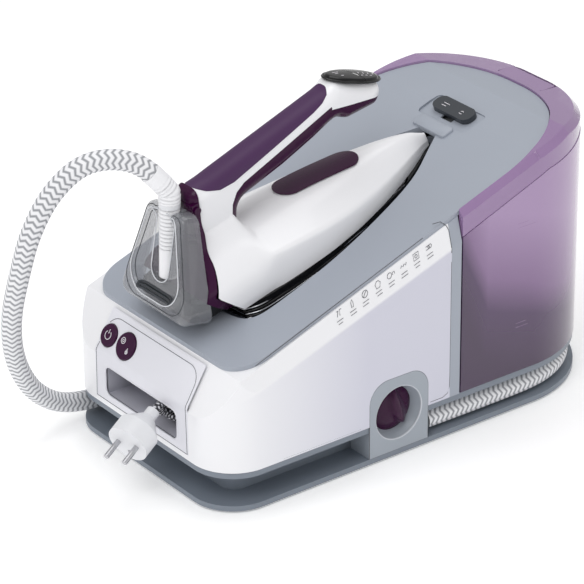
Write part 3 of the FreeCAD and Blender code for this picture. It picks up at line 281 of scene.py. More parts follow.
def clear_material(name, colour, alpha, roughness):
    """Clear plastic, slightly uneven."""
    graph = Graph(name)
    graph.paint(graph.ramp(graph.noise(14, 2), [(0.3, shade(colour, 0.93)), (0.7, colour)]))
    graph.bump(graph.noise(60, 2), 0.0001)
    graph.set(Roughness=roughness, Alpha=alpha, Coat_Weight=1.0, Coat_Roughness=0.04)
    return graph.material


stand_clear = clear_material("stand_clear", srgb(150, 152, 158), 0.5, 0.1)
lid_clear = clear_material("lid_clear", srgb(160, 128, 174), 0.85, 0.15)


ZIGZAGS, BANDS = 6, 180  # zigzags round the hose and bands per metre of it


def braid_material():
    """Zigzag braid, white on grey, laid along the hose by its own coordinates."""
    graph = Graph("hose_braid")
    place = graph.axes("UV")
    across = graph.math("PINGPONG", graph.math("MULTIPLY", place["X"], ZIGZAGS), 0.5)
    wave = graph.math("FRACT", graph.math("ADD", graph.math("MULTIPLY", place["Y"], BANDS), across))
    band = graph.math("PINGPONG", wave, 0.5)
    threads = graph.math("MULTIPLY", graph.noise(1500, 2), 0.06)
    value = graph.math("ADD", band, threads)
    graph.paint(graph.ramp(value, [(0.12, srgb(150, 152, 157)), (0.34, srgb(240, 240, 243))]))
    graph.bump(value, 0.0006)
    graph.set(Roughness=0.62)
    return graph.material


hose_braid = braid_material()


def textile_material():
    """Mottled dark and white textile wrapped round the mains cord."""
    graph = Graph("cord_textile")
    place = graph.axes("UV")
    along, around = graph.math("MULTIPLY", place["Y"], 230), graph.math("MULTIPLY", place["X"], 3)
    turn, back = graph.math("ADD", along, around), graph.math("SUBTRACT", along, around)
    cross = graph.math("MULTIPLY", graph.math("PINGPONG", turn, 0.5), graph.math("PINGPONG", back, 0.5))
    graph.paint(graph.ramp(cross, [(0.05, srgb(44, 44, 50)), (0.12, srgb(216, 216, 222))]))
    graph.bump(cross, 0.0004)
    graph.set(Roughness=0.85)
    return graph.material


cord_textile = textile_material()

# ---- materials of the CAD nodes
NODE_MATERIALS = {
    body_white: ["body_shell"],
    deck_plastic: ["deck_cover", "tank_bulkhead"],
    base_plastic: ["base_tray"],
    dial_grey: ["dial_housing"],
    slot_plastic: ["cable_compartment"],
    dark_plastic: ["lock_slider", "cord_gland", "hose_gland"],
    black_plastic: ["heat_skirt", "heel_block"],
    pad_rubber: ["rest_pads", "rubber_feet"],
    purple_gloss: ["heel_frame", "power_button", "mode_button", "shell_badge", "pivot_discs"],
    tank_tint: ["water_tank"],
    lid_clear: ["tank_lid", "fill_flap"],
    sole_metal: ["soleplate"],
    plain_metal: ["plug_pins", "boiler", "boiler_saddles", "heating_element", "base_screws", "steam_pipe",
                  "steam_chamber"],
    brass_metal: ["safety_valve", "solenoid_valve"],
    felt: ["boiler_lagging"],
    board_green: ["key_board", "main_board"],
    plug_plastic: ["mains_plug", "relief_collar"],
    inner_plastic: ["boiler_thermostat", "iron_thermostat", "water_pump", "water_pipe", "filter_cartridge",
                    "latch_tongue", "tank_socket", "tank_valve"],
}
for material, names in NODE_MATERIALS.items():
    for name in names:
        slots = nodes[name].material_slots
        if not slots:
            nodes[name].data.materials.append(material)
        for slot in slots:
            slot.link = "OBJECT"
            slot.material = material


# ---- mesh helpers
def mesh_object(name, vertices, faces, material, smooth=True):
    data = bpy.data.meshes.new(name)
    data.from_pydata([tuple(v) for v in vertices], [], faces)
    data.materials.append(material)
    data.polygons.foreach_set("use_smooth", [smooth] * len(data.polygons))
    item = bpy.data.objects.new(name, data)
    bpy.context.scene.collection.objects.link(item)
    return item


def outward(item, merge=0.0):
    """Turn a mesh's faces outward, after joining points closer than merge."""
    bm = bmesh.new()
    bm.from_mesh(item.data)
    if merge:
        bmesh.ops.remove_doubles(bm, verts=bm.verts, dist=merge)
    bmesh.ops.recalc_face_normals(bm, faces=bm.faces)
    bm.to_mesh(item.data)
    bm.free()


def centre_of(flat, triangle):
    return sum((flat[i] for i in triangle), Vector((0, 0))) / 3


def looped(line):
    """The same points with the first one again at the end."""
    return line + line[:1]


def nurbs_line(points):
    """Points along the smooth line that a route's control points give."""
    data = bpy.data.curves.new("route", "CURVE")
    data.dimensions = "3D"
    data.resolution_u = 16
    spline = data.splines.new("NURBS")
    spline.points.add(len(points) - 1)
    for point, place in zip(spline.points, points):
        point.co = (*place, 1)
    spline.order_u = 3
    spline.use_endpoint_u = True
    item = bpy.data.objects.new("route", data)
    bpy.context.scene.collection.objects.link(item)
    line = [v.co.copy() for v in bpy.data.meshes.new_from_object(item).vertices]
    bpy.data.objects.remove(item)
    return line


def path_length(line):
    return sum((b - a).length for a, b in zip(line, line[1:]))


def tube_mesh(name, line, radius, sides, material, step=0.0015, relief=None):
    """A closed mesh tube along a line, with coordinates round it (0 to 1) and along it (metres)."""
    total = path_length(line)
    count = max(2, round(total / step))
    places, travelled, index = [], 0.0, 0
    for i in range(count + 1):
        want = total * i / count
        while index < len(line) - 2 and travelled + (line[index + 1] - line[index]).length < want:
            travelled += (line[index + 1] - line[index]).length
            index += 1
        run = line[index + 1] - line[index]
        places.append(line[index] + run * min(1, (want - travelled) / max(run.length, 1e-9)))
    directions = [(places[min(i + 1, count)] - places[max(i - 1, 0)]).normalized() for i in range(count + 1)]
    side = directions[0].orthogonal().normalized()
    vertices, coordinates = [], []
    for i, (place, direction) in enumerate(zip(places, directions)):
        side = (side - direction * side.dot(direction)).normalized()
        other = direction.cross(side)
        for k in range(sides):
            angle = 2 * math.pi * k / sides
            reach = radius + (relief(k / sides, total * i / count) if relief else 0)
            vertices.append(place + (side * math.cos(angle) + other * math.sin(angle)) * reach)
    faces = []
    for i in range(count):
        for k in range(sides):
            following = (k + 1) % sides
            faces.append((i * sides + k, i * sides + following, (i + 1) * sides + following,
                          (i + 1) * sides + k))
            low, high = total * i / count, total * (i + 1) / count
            coordinates += [(k / sides, low), ((k + 1) / sides, low), ((k + 1) / sides, high),
                            (k / sides, high)]
    faces.append(tuple(range(sides))[::-1])
    faces.append(tuple(count * sides + k for k in range(sides)))
    coordinates += [(0, 0)] * (2 * sides)
    item = mesh_object(name, vertices, faces, material)
    layer = item.data.uv_layers.new(name="UVMap")
    layer.data.foreach_set("uv", [value for pair in coordinates for value in pair])
    return item, [tuple(place) for place in places]


# ---- the iron's own frame
IRON_ANGLE = math.atan(0.29)
IRON = Matrix.Translation((-0.14684, 0, 0.13629)) @ Matrix.Rotation(-IRON_ANGLE, 4, "Y")


def on_iron(x, y, z):
    """Point in the iron's own frame, in millimetres, to the row frame."""
    return IRON @ (Vector((x, y, z)) * MM)


def outline_points(corners, radii, step=1.5):
    """Closed 2-D outline with rounded corners, as closely spaced points."""
    count = len(corners)
    points = []
    for i in range(count):
        before, corner, after = Vector(corners[i - 1]), Vector(corners[i]), Vector(corners[(i + 1) % count])
        to_before, to_after = (before - corner).normalized(), (after - corner).normalized()
        half = to_before.angle(to_after) / 2
        radius = radii[i]
        if radius == 0 or abs(half - math.pi / 2) < 0.01:
            points.append(corner)
            continue
        reach = min(radius / math.tan(half), 0.48 * (before - corner).length, 0.48 * (after - corner).length)
        radius = reach * math.tan(half)
        centre = corner + (to_before + to_after).normalized() * (radius / math.sin(half))
        start, end = corner + to_before * reach - centre, corner + to_after * reach - centre
        sweep = math.pi - 2 * half
        steps = max(3, round(radius * sweep / step))
        for k in range(steps + 1):
            arm = start.lerp(end, k / steps)
            if sweep > 0.02:
                first = start * math.sin(sweep * (1 - k / steps)) / math.sin(sweep)
                arm = first + end * (math.sin(sweep * k / steps) / math.sin(sweep))
            points.append(centre + arm)
    return spread(points + [points[0]], step)[:-1]


def spread(points, step):
    """The same broken line with points no further apart than the step."""
    line = [Vector(points[0])]
    for place in points[1:]:
        place = Vector(place)
        gap = (place - line[-1]).length
        if gap < step * 0.3:
            continue
        steps = max(1, round(gap / step))
        start = line[-1]
        line += [start.lerp(place, k / steps) for k in range(1, steps + 1)]
    return line


def distance_to(line, place, closed=True):
    best = 1e9
    pairs = zip(line, line[1:] + line[:1]) if closed else zip(line, line[1:])
    for a, b in pairs:
        run = b - a
        t = max(0, min(1, (place - a).dot(run) / max(run.length_squared, 1e-12)))
        best = min(best, (a + run * t - place).length)
    return best


def inside(line, place):
    """True when a 2-D place lies inside a closed outline."""
    found = False
    for a, b in zip(line, line[1:] + line[:1]):
        if (a.y > place.y) != (b.y > place.y) and place.x < (b.x - a.x) * (place.y - a.y) / (b.y - a.y) + a.x:
            found = not found
    return found


def plane_mesh(outline, joints, insets, grid):
    """Triangles of a 2-D outline, fine near its edge and cut along joints: places, edge distances, faces."""
    places = list(outline)
    edges = [(i, (i + 1) % len(outline)) for i in range(len(outline))]
    count = len(outline)
    for depth in insets:
        for i in range(count):
            run = (outline[(i + 1) % count] - outline[i - 1]).normalized()
            for side in (1, -1):
                place = outline[i] + Vector((-run.y, run.x)) * side * depth
                if inside(outline, place) and distance_to(outline, place) > depth * 0.93:
                    places.append(place)
    for joint in joints:
        chain = spread(joint, 2.0)
        first = len(places)
        places += chain
        edges += [(first + i, first + i + 1) for i in range(len(chain) - 1)]
    low = Vector((min(p.x for p in outline), min(p.y for p in outline)))
    high = Vector((max(p.x for p in outline), max(p.y for p in outline)))
    for i in range(int((high.x - low.x) / grid) + 1):
        for k in range(int((high.y - low.y) / grid) + 1):
            place = low + Vector(((i + 0.5 * (k % 2)) * grid, k * grid))
            if inside(outline, place) and distance_to(outline, place) > insets[-1] + grid * 0.4:
                places.append(place)
    result = delaunay_2d_cdt(places, edges, [], 0, 0.05)
    flat, triangles = result[0], result[2]
    kept = [tuple(t) for t in triangles if inside(outline, centre_of(flat, t))]
    return flat, [distance_to(outline, place) for place in flat], kept


def pillow(flat, depths, triangles, half, edge_radius, to_space, name, material, choose):
    """Both sides of a soft-edged slab over the chosen triangles, with a band round its outer edge."""
    picked = [t for t in triangles if choose(centre_of(flat, t))]
    used = sorted({i for t in picked for i in t})
    number = {old: new for new, old in enumerate(used)}
    vertices = []
    for sign in (1, -1):
        for i in used:
            width = half(flat[i]) if callable(half) else half
            d = min(depths[i], edge_radius) / edge_radius
            y = (width - edge_radius) + edge_radius * math.sqrt(max(0, 1 - (1 - d) ** 2))
            vertices.append(to_space(flat[i].x, y * sign, flat[i].y))
    total = len(used)
    faces = [tuple(number[i] for i in t) for t in picked]
    faces += [tuple(number[i] + total for i in reversed(t)) for t in picked]
    sides = {}
    for t in picked:
        for a, b in zip(t, t[1:] + t[:1]):
            sides[(a, b)] = True
    for a, b in sides:
        if (b, a) not in sides and depths[a] < 0.05 and depths[b] < 0.05:
            faces.append((number[b], number[a], number[a] + total, number[b] + total))
    item = mesh_object(name, vertices, faces, material)
    outward(item)
    return item


def smoothstep(value):
    value = max(0, min(1, value))
    return value * value * (3 - 2 * value)


def along_table(table, where):
    """Value at a place on a table of (place, value) rows, held at both ends."""
    if where <= table[0][0]:
        return table[0][1]
    for (a, value_a), (b, value_b) in zip(table, table[1:]):
        if where <= b:
            return value_a + (value_b - value_a) * (where - a) / (b - a)
    return table[-1][1]


def catmull(points, samples):
    """Smooth open curve through control points given as tuples."""
    points = [Vector(p) for p in points]
    ends = [points[0] * 2 - points[1]] + points + [points[-1] * 2 - points[-2]]
    line = []
    for i in range(len(points) - 1):
        a, b, c, d = ends[i:i + 4]
        for k in range(samples):
            t = k / samples
            line.append(0.5 * ((2 * b) + (c - a) * t + (2 * a - 5 * b + 4 * c - d) * t ** 2
                               + (3 * b - a - 3 * c + d) * t ** 3))
    return line + [points[-1]]


# ---- iron handle, grip, lining and trigger
HANDLE = outline_points(
    [(-16, 50), (-1, 104), (3, 122.5), (24, 122), (160, 133), (169, 138), (217, 111), (208, 92), (173, 95.5),
     (164, 102), (156, 102.5), (135, 97.5), (100, 91.5), (48, 86), (36, 50)],
    [0, 90, 10, 90, 16, 12, 12, 10, 9, 5, 9, 30, 60, 14, 0], 1.6)
GRIP_JOINT = [(-20, 129), (9, 123), (19, 116), (31, 110.5), (46, 109.4), (100, 118), (140, 124.4), (151, 127),
              (159, 130.5), (164, 135.5), (166, 146)]
LINING_JOINT = [(31, 60), (34, 70), (35.5, 80), (38.5, 90), (45.5, 98.6), (55, 103.2), (100, 110.3),
                (156, 119.6), (158, 120)]
TRIGGER_JOINT = [(157.5, 128), (157.5, 117), (207, 102.1), (222, 97.5)]
FRAME_LINE = [(12, 130), (8, 112), (2.5, 83), (-6, 62), (-20, 41)]

LINING_HOOK = [(z, x) for x, z in LINING_JOINT[:6]]


def above(joint, place):
    return place.y > along_table(joint, place.x)


def handle_region(place):
    if place.x < along_table([(z, x) for x, z in reversed(FRAME_LINE)], place.y):
        return "frame"
    if place.x > 157.5:
        if place.y < 117 - (place.x - 157.5) * 0.3:
            return "trigger"
    elif place.x > along_table(LINING_HOOK, place.y) and not above(LINING_JOINT, place):
        return "lining"
    return "grip" if above(GRIP_JOINT, place) and place.x < 164 else "core"


def handle_half(place):
    """Half width of the handle: fuller under the keys and slimmer at the grip's rear end."""
    rear_end = smoothstep((place.y - 110) / 12) * smoothstep((40 - place.x) / 40)
    return 14.4 + 1.0 * smoothstep((place.x - 150) / 30) - 0.9 * rear_end


HANDLE_INSETS, HANDLE_GRID, HANDLE_EDGE = (0.5, 1.5, 3, 5, 7.6, 10.4), 4.0, 12.5
handle_joints = [GRIP_JOINT, LINING_JOINT, TRIGGER_JOINT[1:], FRAME_LINE]
handle_flat = plane_mesh(HANDLE, handle_joints, HANDLE_INSETS, HANDLE_GRID)
for part_name, wanted, cad_name, body, material, slot, swell in (
        ("handle_core", "core", "iron_handle", "iron", white_gloss, "white_gloss", 0),
        ("handle_grip", "grip", "soft_grip", "iron", grip_rubber, "purple_soft", 0.35),
        ("handle_lining", "lining", "grip_lining", "iron", purple_gloss, "purple_gloss", 0.1),
        ("trigger_skin", "trigger", "steam_trigger", "trigger", purple_gloss, "purple_gloss", -0.8)):
    piece = pillow(*handle_flat, lambda place, more=swell: handle_half(place) + more, HANDLE_EDGE, on_iron,
                   part_name, material, lambda place, region=wanted: handle_region(place) == region)
    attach(piece, body)
    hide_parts(cad_name)

# ---- iron shell with its soft crease and heel post
HALF_WIDTHS = [(4, 50.5), (30, 52), (65, 53), (100, 52), (135, 47), (172, 37.4), (205, 25.5), (230, 14),
               (243, 6.5), (251, 2)]
RIDGES = [(4, 63), (30, 65.3), (65, 66), (100, 64), (135, 59.5), (172, 53.5), (205, 47.6), (230, 41.3),
          (246, 34), (254, 25)]
CREASES = [(4, 54), (30, 51), (82, 44.5), (135, 37), (172, 32.5), (205, 29.5), (230, 27), (254, 21)]


def smooth_table(table, where):
    """Table value with its corners softened."""
    return sum(along_table(table, where + shift) for shift in (-9, -5, 0, 5, 9)) / 5


SHELL_FOOT = 17.1


def shell_profile(x):
    """Half section from foot to ridge at one place along the iron."""
    width, ridge, crease = smooth_table(HALF_WIDTHS, x), smooth_table(RIDGES, x), smooth_table(CREASES, x)
    rise = ridge - crease
    shell = [(width, SHELL_FOOT), (width * 0.995, SHELL_FOOT + (crease - SHELL_FOOT) * 0.35),
             (width * 0.975, crease - 4),
             (width * 0.94, crease), (width * 0.86, crease + rise * 0.14),
             (width * 0.72, crease + rise * 0.36), (width * 0.52, crease + rise * 0.66),
             (width * 0.28, crease + rise * 0.91), (0, ridge)]
    post = [(51, SHELL_FOOT), (52, 24), (51, 36), (47, 47), (38, 57.5), (25, 67), (15.5, 78), (13, 87),
            (8, 92)]
    share = smoothstep((46 - x) / 15)
    return [(a[0] * (1 - share) + b[0] * share, a[1] * (1 - share) + b[1] * share)
            for a, b in zip(shell, post)]


shell_rows = []
SHELL_STEPS = [0, 3, 7, 12, 18, 24, 30, 35, 38, 40.5, 43, 45.5, 48, 51, 55]
SHELL_STEPS += [60 + 6 * i for i in range(30)] + [237, 240, 243, 246, 248.5, 250.3, 251.3]
inner_line = [(17, 1.5), (41, -19), (62, -5), (83, 3.5), (112, 9)]
for x in SHELL_STEPS:
    section = catmull(shell_profile(x), 4)
    full = [(p.x, p.y) for p in section] + [(-p.x, p.y) for p in reversed(section)]
    share = max(0, 1 - x / 45)
    shell_rows.append([on_iron(x + along_table(inner_line, z) * share, y, z) for y, z in full])
width = len(shell_rows[0])
shell_faces = [(i * width + k, i * width + k + 1, (i + 1) * width + k + 1, (i + 1) * width + k)
               for i in range(len(shell_rows) - 1) for k in range(width - 1)]
shell_faces.append(tuple((len(shell_rows) - 1) * width + k for k in range(width)))
iron_skin = mesh_object("iron_skin", [p for row in shell_rows for p in row], shell_faces, white_gloss)
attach(iron_skin, "iron")
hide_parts("iron_shell")

# ---- fine lines, soles and keys
def strokes(name, lines, radius, material, body, sides=5):
    """Thin raised lines, each a closed or open run of points, as one mesh."""
    vertices, faces = [], []
    for line in lines:
        line = [Vector(p) for p in line]
        closed = (line[0] - line[-1]).length < 1e-5
        if closed:
            line = line[:-1]
        count, first = len(line), len(vertices)
        for i, place in enumerate(line):
            before = line[i - 1] if closed or i else place * 2 - line[1]
            after = line[(i + 1) % count] if closed or i < count - 1 else place * 2 - line[i - 1]
            direction = (after - before).normalized()
            side = direction.cross(Vector((0.31, 0.22, 0.92))).normalized()
            other = direction.cross(side)
            for k in range(sides):
                angle = 2 * math.pi * k / sides
                vertices.append(place + (side * math.cos(angle) + other * math.sin(angle)) * radius)
        for i in range(count if closed else count - 1):
            following = (i + 1) % count
            for k in range(sides):
                m = (k + 1) % sides
                faces.append((first + i * sides + k, first + i * sides + m, first + following * sides + m,
                              first + following * sides + k))
    item = mesh_object(name, vertices, faces, material)
    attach(item, body)
    return item


def boat(half, margin, end=257):
    """Half outline of the sole from the middle of the heel to the nose."""
    rows = [(-margin, 0), (2 - margin, half * 0.7), (6 - margin, half * 0.87), (28, half + margin),
            (100, half * 0.95 + margin), (160, half * 0.77 + margin), (210, half * 0.5 + margin),
            (end - 14, half * 0.2 + margin * 0.8), (end + margin, 0)]
    side = catmull([(x, y, 0) for x, y in rows], 10)
    return [(p.x, p.y) for p in side] + [(p.x, -p.y) for p in reversed(side[1:-1])]


def boat_line(half, margin, height, end=257):
    ring = [on_iron(x, y, height) for x, y in boat(half, margin, end)]
    return ring + [ring[0]]


chrome = brushed("chrome", srgb(225, 226, 230), 0.12, (90, 90, 900))
strokes("sole_edge", [boat_line(56, -0.7, 3.4), boat_line(55, -0.9, 7.4), boat_line(53.4, -0.8, 12.2, 256)],
        0.0008, chrome, "iron")
strokes("skirt_ribs", [boat_line(55.6, -0.8, 5.3), boat_line(54.2, -0.7, 9.8, 256)], 0.0012, black_plastic,
        "iron")

PANEL_AT, PANEL_TILT = Vector((193, 0, 124.6)), math.radians(29.6)
KEY_LENGTH, KEY_WIDTH = 60, 31


def on_keys(along, across, up):
    """Point on the tilted key plate at the handle's head, in millimetres."""
    cosine, sine = math.cos(PANEL_TILT), math.sin(PANEL_TILT)
    return on_iron(PANEL_AT.x + along * cosine + up * sine, across, PANEL_AT.z - along * sine + up * cosine)


def key_height(along, across):
    edge = (2 * along / KEY_LENGTH) ** 2 + (2 * across / KEY_WIDTH) ** 2
    return 4.9 - 1.5 * edge - 3.2 * max(0, edge - 0.8) / 0.2


def key_plate(name, side, body, cad_name):
    """One half of the domed oval key plate, parted by a slanted gap."""
    rings, turns = 14, 72
    bm = bmesh.new()
    grid = []
    for ring in range(rings + 1):
        reach = math.sin(ring / rings * math.pi / 2)
        grid.append([bm.verts.new((reach * KEY_LENGTH / 2 * math.cos(2 * math.pi * k / turns),
                                   reach * KEY_WIDTH / 2 * math.sin(2 * math.pi * k / turns), 0))
                     for k in range(turns)])
    for inner, outer in zip(grid, grid[1:]):
        for k in range(turns):
            m = (k + 1) % turns
            bm.faces.new((inner[k], outer[k], outer[m], inner[m]))
    bmesh.ops.remove_doubles(bm, verts=bm.verts, dist=1e-6)
    split = Vector((1, 0.35, 0)).normalized() * side
    geometry = list(bm.verts) + list(bm.edges) + list(bm.faces)
    bmesh.ops.bisect_plane(bm, geom=geometry, plane_co=split * 0.4, plane_no=split, clear_inner=True)
    for vertex in bm.verts:
        vertex.co = on_keys(vertex.co.x, vertex.co.y, key_height(vertex.co.x, vertex.co.y) - 0.6)
    bmesh.ops.recalc_face_normals(bm, faces=bm.faces)
    data = bpy.data.meshes.new(name)
    bm.to_mesh(data)
    bm.free()
    data.materials.append(key_black)
    data.polygons.foreach_set("use_smooth", [True] * len(data.polygons))
    item = bpy.data.objects.new(name, data)
    bpy.context.scene.collection.objects.link(item)
    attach(item, body)
    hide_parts(cad_name)


key_black = moulded("key_black", srgb(10, 10, 12), 0.16, 1500, 0.000005, 0.05, 0.05, 0.35)
key_plate("front_key", 1, "temperature_key", "temperature_key")
key_plate("rear_key", -1, "mode_key", "mode_key")
key_well = [on_keys(KEY_LENGTH / 2 * 1.01 * math.cos(a / 36 * math.pi),
                    KEY_WIDTH / 2 * 1.01 * math.sin(a / 36 * math.pi), 0.2) for a in range(73)]
strokes("key_well", [key_well[:-1] + [key_well[0]]], 0.0011, black_plastic, "iron")


def dash(place, along, length):
    """Short line on the key plate."""
    line = [(place[0] + t * length * along[0], place[1] + t * length * along[1])
            for t in (0, 0.25, 0.5, 0.75, 1)]
    return [on_keys(x, y, key_height(x, y) - 0.55) for x, y in line]


strokes("front_key_marks", [dash((6 + 5 * i, -2.5 - 0.6 * i), (0.3, 1), 3.2) for i in range(4)]
        + [dash((5 + 5 * i, -6.5), (1, 0), 2.6) for i in range(3)], 0.00028, icon_white, "temperature_key")
strokes("rear_key_marks", [dash((-20, 3), (1, 0.1), 7), dash((-19, 0), (1, 0.1), 4),
                           dash((-16, -5), (1, 0), 3)], 0.00028, icon_white, "mode_key")

# ---- heel stand
STAND_FOOT, STAND_LEAN = Vector((-59, 0, 31.5)), math.atan2(41.4, 84.8)


def on_stand(across, up, depth):
    """Point on the clear stand behind the heel: across, up its face, and in behind the face."""
    cosine, sine = math.cos(STAND_LEAN), math.sin(STAND_LEAN)
    return on_iron(STAND_FOOT.x + depth * cosine + up * sine, across,
                   STAND_FOOT.z - depth * sine + up * cosine)


stand_outline = outline_points([(-52.5, 0.5), (52.5, 0.5), (26.5, 93.5), (-26.5, 93.5)], [11, 11, 9, 9], 2)
ridge_outline = outline_points([(-42, 11), (42, 11), (19, 90), (-19, 90)], [22, 22, 8, 8], 2)
channel_outline = outline_points([(-12.8, 27), (12.8, 27), (12.8, 99), (-12.8, 99)], [12.4, 12.4, 0, 0], 2)
foot_slot = outline_points([(-24, 14.5), (24, 14.5), (24, 19), (-24, 19)], [2, 2, 2, 2], 2)


def stand_depth(place):
    """How far the stand's face lies behind its foremost plane."""
    rim = min(distance_to(stand_outline, place), 6)
    depth = 6.4 - math.sqrt(max(0, 36 - (6 - rim) ** 2))
    ridge = distance_to(ridge_outline, place)
    if inside(ridge_outline, place):
        depth += 5 * smoothstep(ridge / 9)
    depth -= 1.6 * math.exp(-(ridge / 1.3) ** 2)
    channel = distance_to(channel_outline, place)
    if inside(channel_outline, place):
        depth += 11 * smoothstep(channel / 1.6)
    depth -= 1.3 * math.exp(-(channel / 1.1) ** 2)
    return depth


def stand_line(points, sunk=0.1):
    """Line on the stand's face, a little in front of it."""
    return [on_stand(p.x, p.y, stand_depth(p) - sunk) for p in points]


flat, depths, triangles = plane_mesh(stand_outline, [looped(ridge_outline), channel_outline],
                                     (0.6, 1.6, 3, 4.6), 2.2)
stand_vertices = [on_stand(p.x, p.y, stand_depth(p)) for p in flat]
rim = [i for i, d in enumerate(depths) if d < 0.05]
rim.sort(key=lambda i: math.atan2(flat[i].y - 45, flat[i].x))
STAND_BACK = [(0, 33), (40, 27), (94, 21)]
stand_faces = list(triangles)
back_start = len(stand_vertices)
stand_vertices += [on_stand(flat[i].x, flat[i].y, along_table(STAND_BACK, flat[i].y) - 4) for i in rim]
for a, (i, k) in enumerate(zip(rim, rim[1:] + rim[:1])):
    stand_faces.append((i, k, back_start + (a + 1) % len(rim), back_start + a))
stand_skin = mesh_object("stand_skin", stand_vertices, stand_faces, stand_clear)
outward(stand_skin)
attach(stand_skin, "iron")
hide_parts("heel_stand")
# painted highlight: raised lines along the stand's ridge and channel, coloured light and glossy as if
# catching the light
stand_ridge_highlight = moulded("stand_ridge_highlight", srgb(212, 214, 219), 0.2, 1500, 0.00001, 0.02, 0.4)
low_channel = [p for p in channel_outline if p.y < 92]
strokes("stand_ridges", [stand_line(looped(ridge_outline)), stand_line(low_channel)], 0.0006, stand_ridge_highlight,
        "iron")
# painted shade: dark lines just inside and outside the ridge, where shade falls beside it
inner_ridge_shade = outline_points([(-38.5, 13.5), (38.5, 13.5), (17, 88), (-17, 88)], [20, 20, 7, 7], 2)
outer_ridge_shade = outline_points([(-47.5, 6), (47.5, 6), (23, 91.5), (-23, 91.5)], [18, 18, 8, 8], 2)
strokes("stand_ridge_shade", [stand_line(looped(inner_ridge_shade)), stand_line(looped(outer_ridge_shade))], 0.00035,
        dark_plastic, "iron")
slot_middle = [Vector((t, 16.8)) for t in range(-23, 24)]
strokes("stand_slot", [stand_line(looped(foot_slot)), stand_line(slot_middle, 0.2)], 0.0013,
        dark_plastic, "iron")

# ---- strain relief and sleeve
RELIEF_FOOT, RELIEF_TOP = Vector((-32, 0, 53)), Vector((-11, 0, 118))
SLEEVE_BEND = RELIEF_TOP + (RELIEF_TOP - RELIEF_FOOT).normalized() * 11
HOSE_END = Vector((-16.5, 7, 149.5))


def relief_ribs(turn, along):
    """Smooth stub below, close ribs above."""
    if along < 0.024:
        return 0.0003
    return 0.0004 - 0.0020 * max(0, 1 - abs((along / 0.0036) % 1 - 0.5) / 0.17)


relief_line = [on_iron(*RELIEF_FOOT.lerp(RELIEF_TOP, t)) for t in (0, 0.25, 0.5, 0.75, 1)]
relief, _ = tube_mesh("ribbed_relief", relief_line, 0.0086, 32, white_gloss, 0.0006, relief_ribs)
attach(relief, "iron")
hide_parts("hose_strain_relief")
sleeve_line = nurbs_line([on_iron(*RELIEF_TOP), on_iron(*RELIEF_TOP.lerp(SLEEVE_BEND, 0.6)),
                          on_iron(*SLEEVE_BEND), on_iron(*HOSE_END)])


def sleeve_ribs(turn, along):
    """Ribs that fade out over the sleeve's upper half."""
    notch = max(0, 1 - abs((along / 0.0033) % 1 - 0.5) / 0.17)
    return 0.0002 - 0.0014 * notch * smoothstep((0.026 - along) / 0.008)


sleeve, _ = tube_mesh("hose_elbow", sleeve_line, 0.0094, 32, white_gloss, 0.0006, sleeve_ribs)
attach(sleeve, "iron")
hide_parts("hose_sleeve")

# ---- front panel, seam and button icons
BEVEL_LEAN = math.atan2(24, 40)
PANEL_HALF, PANEL_LOW, BEVEL_FOOT, PANEL_HIGH = 69.3, 43.8, 90, 124.2


def on_panel(across, up, out=0.0):
    """Point on the front panel: from the middle, height along its face, and out from it."""
    bend = 5.0
    lower = Vector((-LENGTH / 2 - out, across, up))
    run = (up - BEVEL_FOOT) * math.sin(BEVEL_LEAN)
    upper = Vector((-LENGTH / 2 + run - out * math.cos(BEVEL_LEAN), across,
                    BEVEL_FOOT + (up - BEVEL_FOOT) * math.cos(BEVEL_LEAN) + out * math.sin(BEVEL_LEAN)))
    if up < BEVEL_FOOT - bend:
        return lower * MM
    if up > BEVEL_FOOT + bend:
        return upper * MM
    t = (up - BEVEL_FOOT + bend) / (2 * bend)
    return lower.lerp(upper, smoothstep(t)) * MM


panel_top = BEVEL_FOOT + (PANEL_HIGH - BEVEL_FOOT) / math.cos(BEVEL_LEAN)
panel_outline = outline_points([(-PANEL_HALF, PANEL_LOW), (PANEL_HALF, PANEL_LOW), (PANEL_HALF, panel_top),
                                (-PANEL_HALF, panel_top)], [0, 0, 2, 2], 3)
slot_outline = outline_points([(-54, 51), (54, 51), (54, 80), (-54, 80)], [7, 7, 7, 7], 1.5)
POWER_AT, MODE_AT = (58, 104), (32, 104)
POWER_HOLE, MODE_HOLE = 10.9, 12.9


def along_face(height):
    """Distance up the bent panel of a point at that height on its leaning part."""
    return BEVEL_FOOT + (height - BEVEL_FOOT) / math.cos(BEVEL_LEAN)


power_spot, mode_spot = [Vector((across, along_face(height))) for across, height in (POWER_AT, MODE_AT)]
openings = [slot_outline]
for spot, radius in ((power_spot, POWER_HOLE), (mode_spot, MODE_HOLE)):
    openings.append([spot + Vector((math.cos(a / 24 * math.pi), math.sin(a / 24 * math.pi))) * radius
                     for a in range(48)])
flat, depths, triangles = plane_mesh(panel_outline, [looped(line) for line in openings], (1, 3), 4)
for opening in openings:
    triangles = [t for t in triangles if not inside(opening, centre_of(flat, t))]
panel_skin = mesh_object("panel_skin", [on_panel(p.x, p.y, 0.5 if d > 0.5 else 0.0)
                                        for p, d in zip(flat, depths)], triangles, white_satin)
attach(panel_skin, "station")
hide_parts("front_panel")
SEAM_TOP = panel_top - 6
seam = outline_points([(-68, PANEL_LOW + 1), (68, PANEL_LOW + 1), (66, SEAM_TOP), (-66, SEAM_TOP)],
                      [0, 0, 15, 15], 2)
nearest = min(range(len(seam)), key=lambda i: (seam[i] - power_spot).length)
seam = [p for p in seam[nearest:] + seam[:nearest] if (p - power_spot).length > POWER_HOLE + 0.6]
strokes("panel_seam", [[on_panel(p.x, p.y, 0.45) for p in seam]], 0.00035, ink_grey, "station")
strokes("slot_edge", [[on_panel(p.x, p.y, 0.2) for p in looped(slot_outline)]], 0.0009,
        white_satin, "station")


def icon(place, out, points):
    """Icon line on the buttons; points are right and up in millimetres as seen from the front."""
    return [on_panel(place[0] - x, along_face(place[1]) + y, out) for x, y in points]


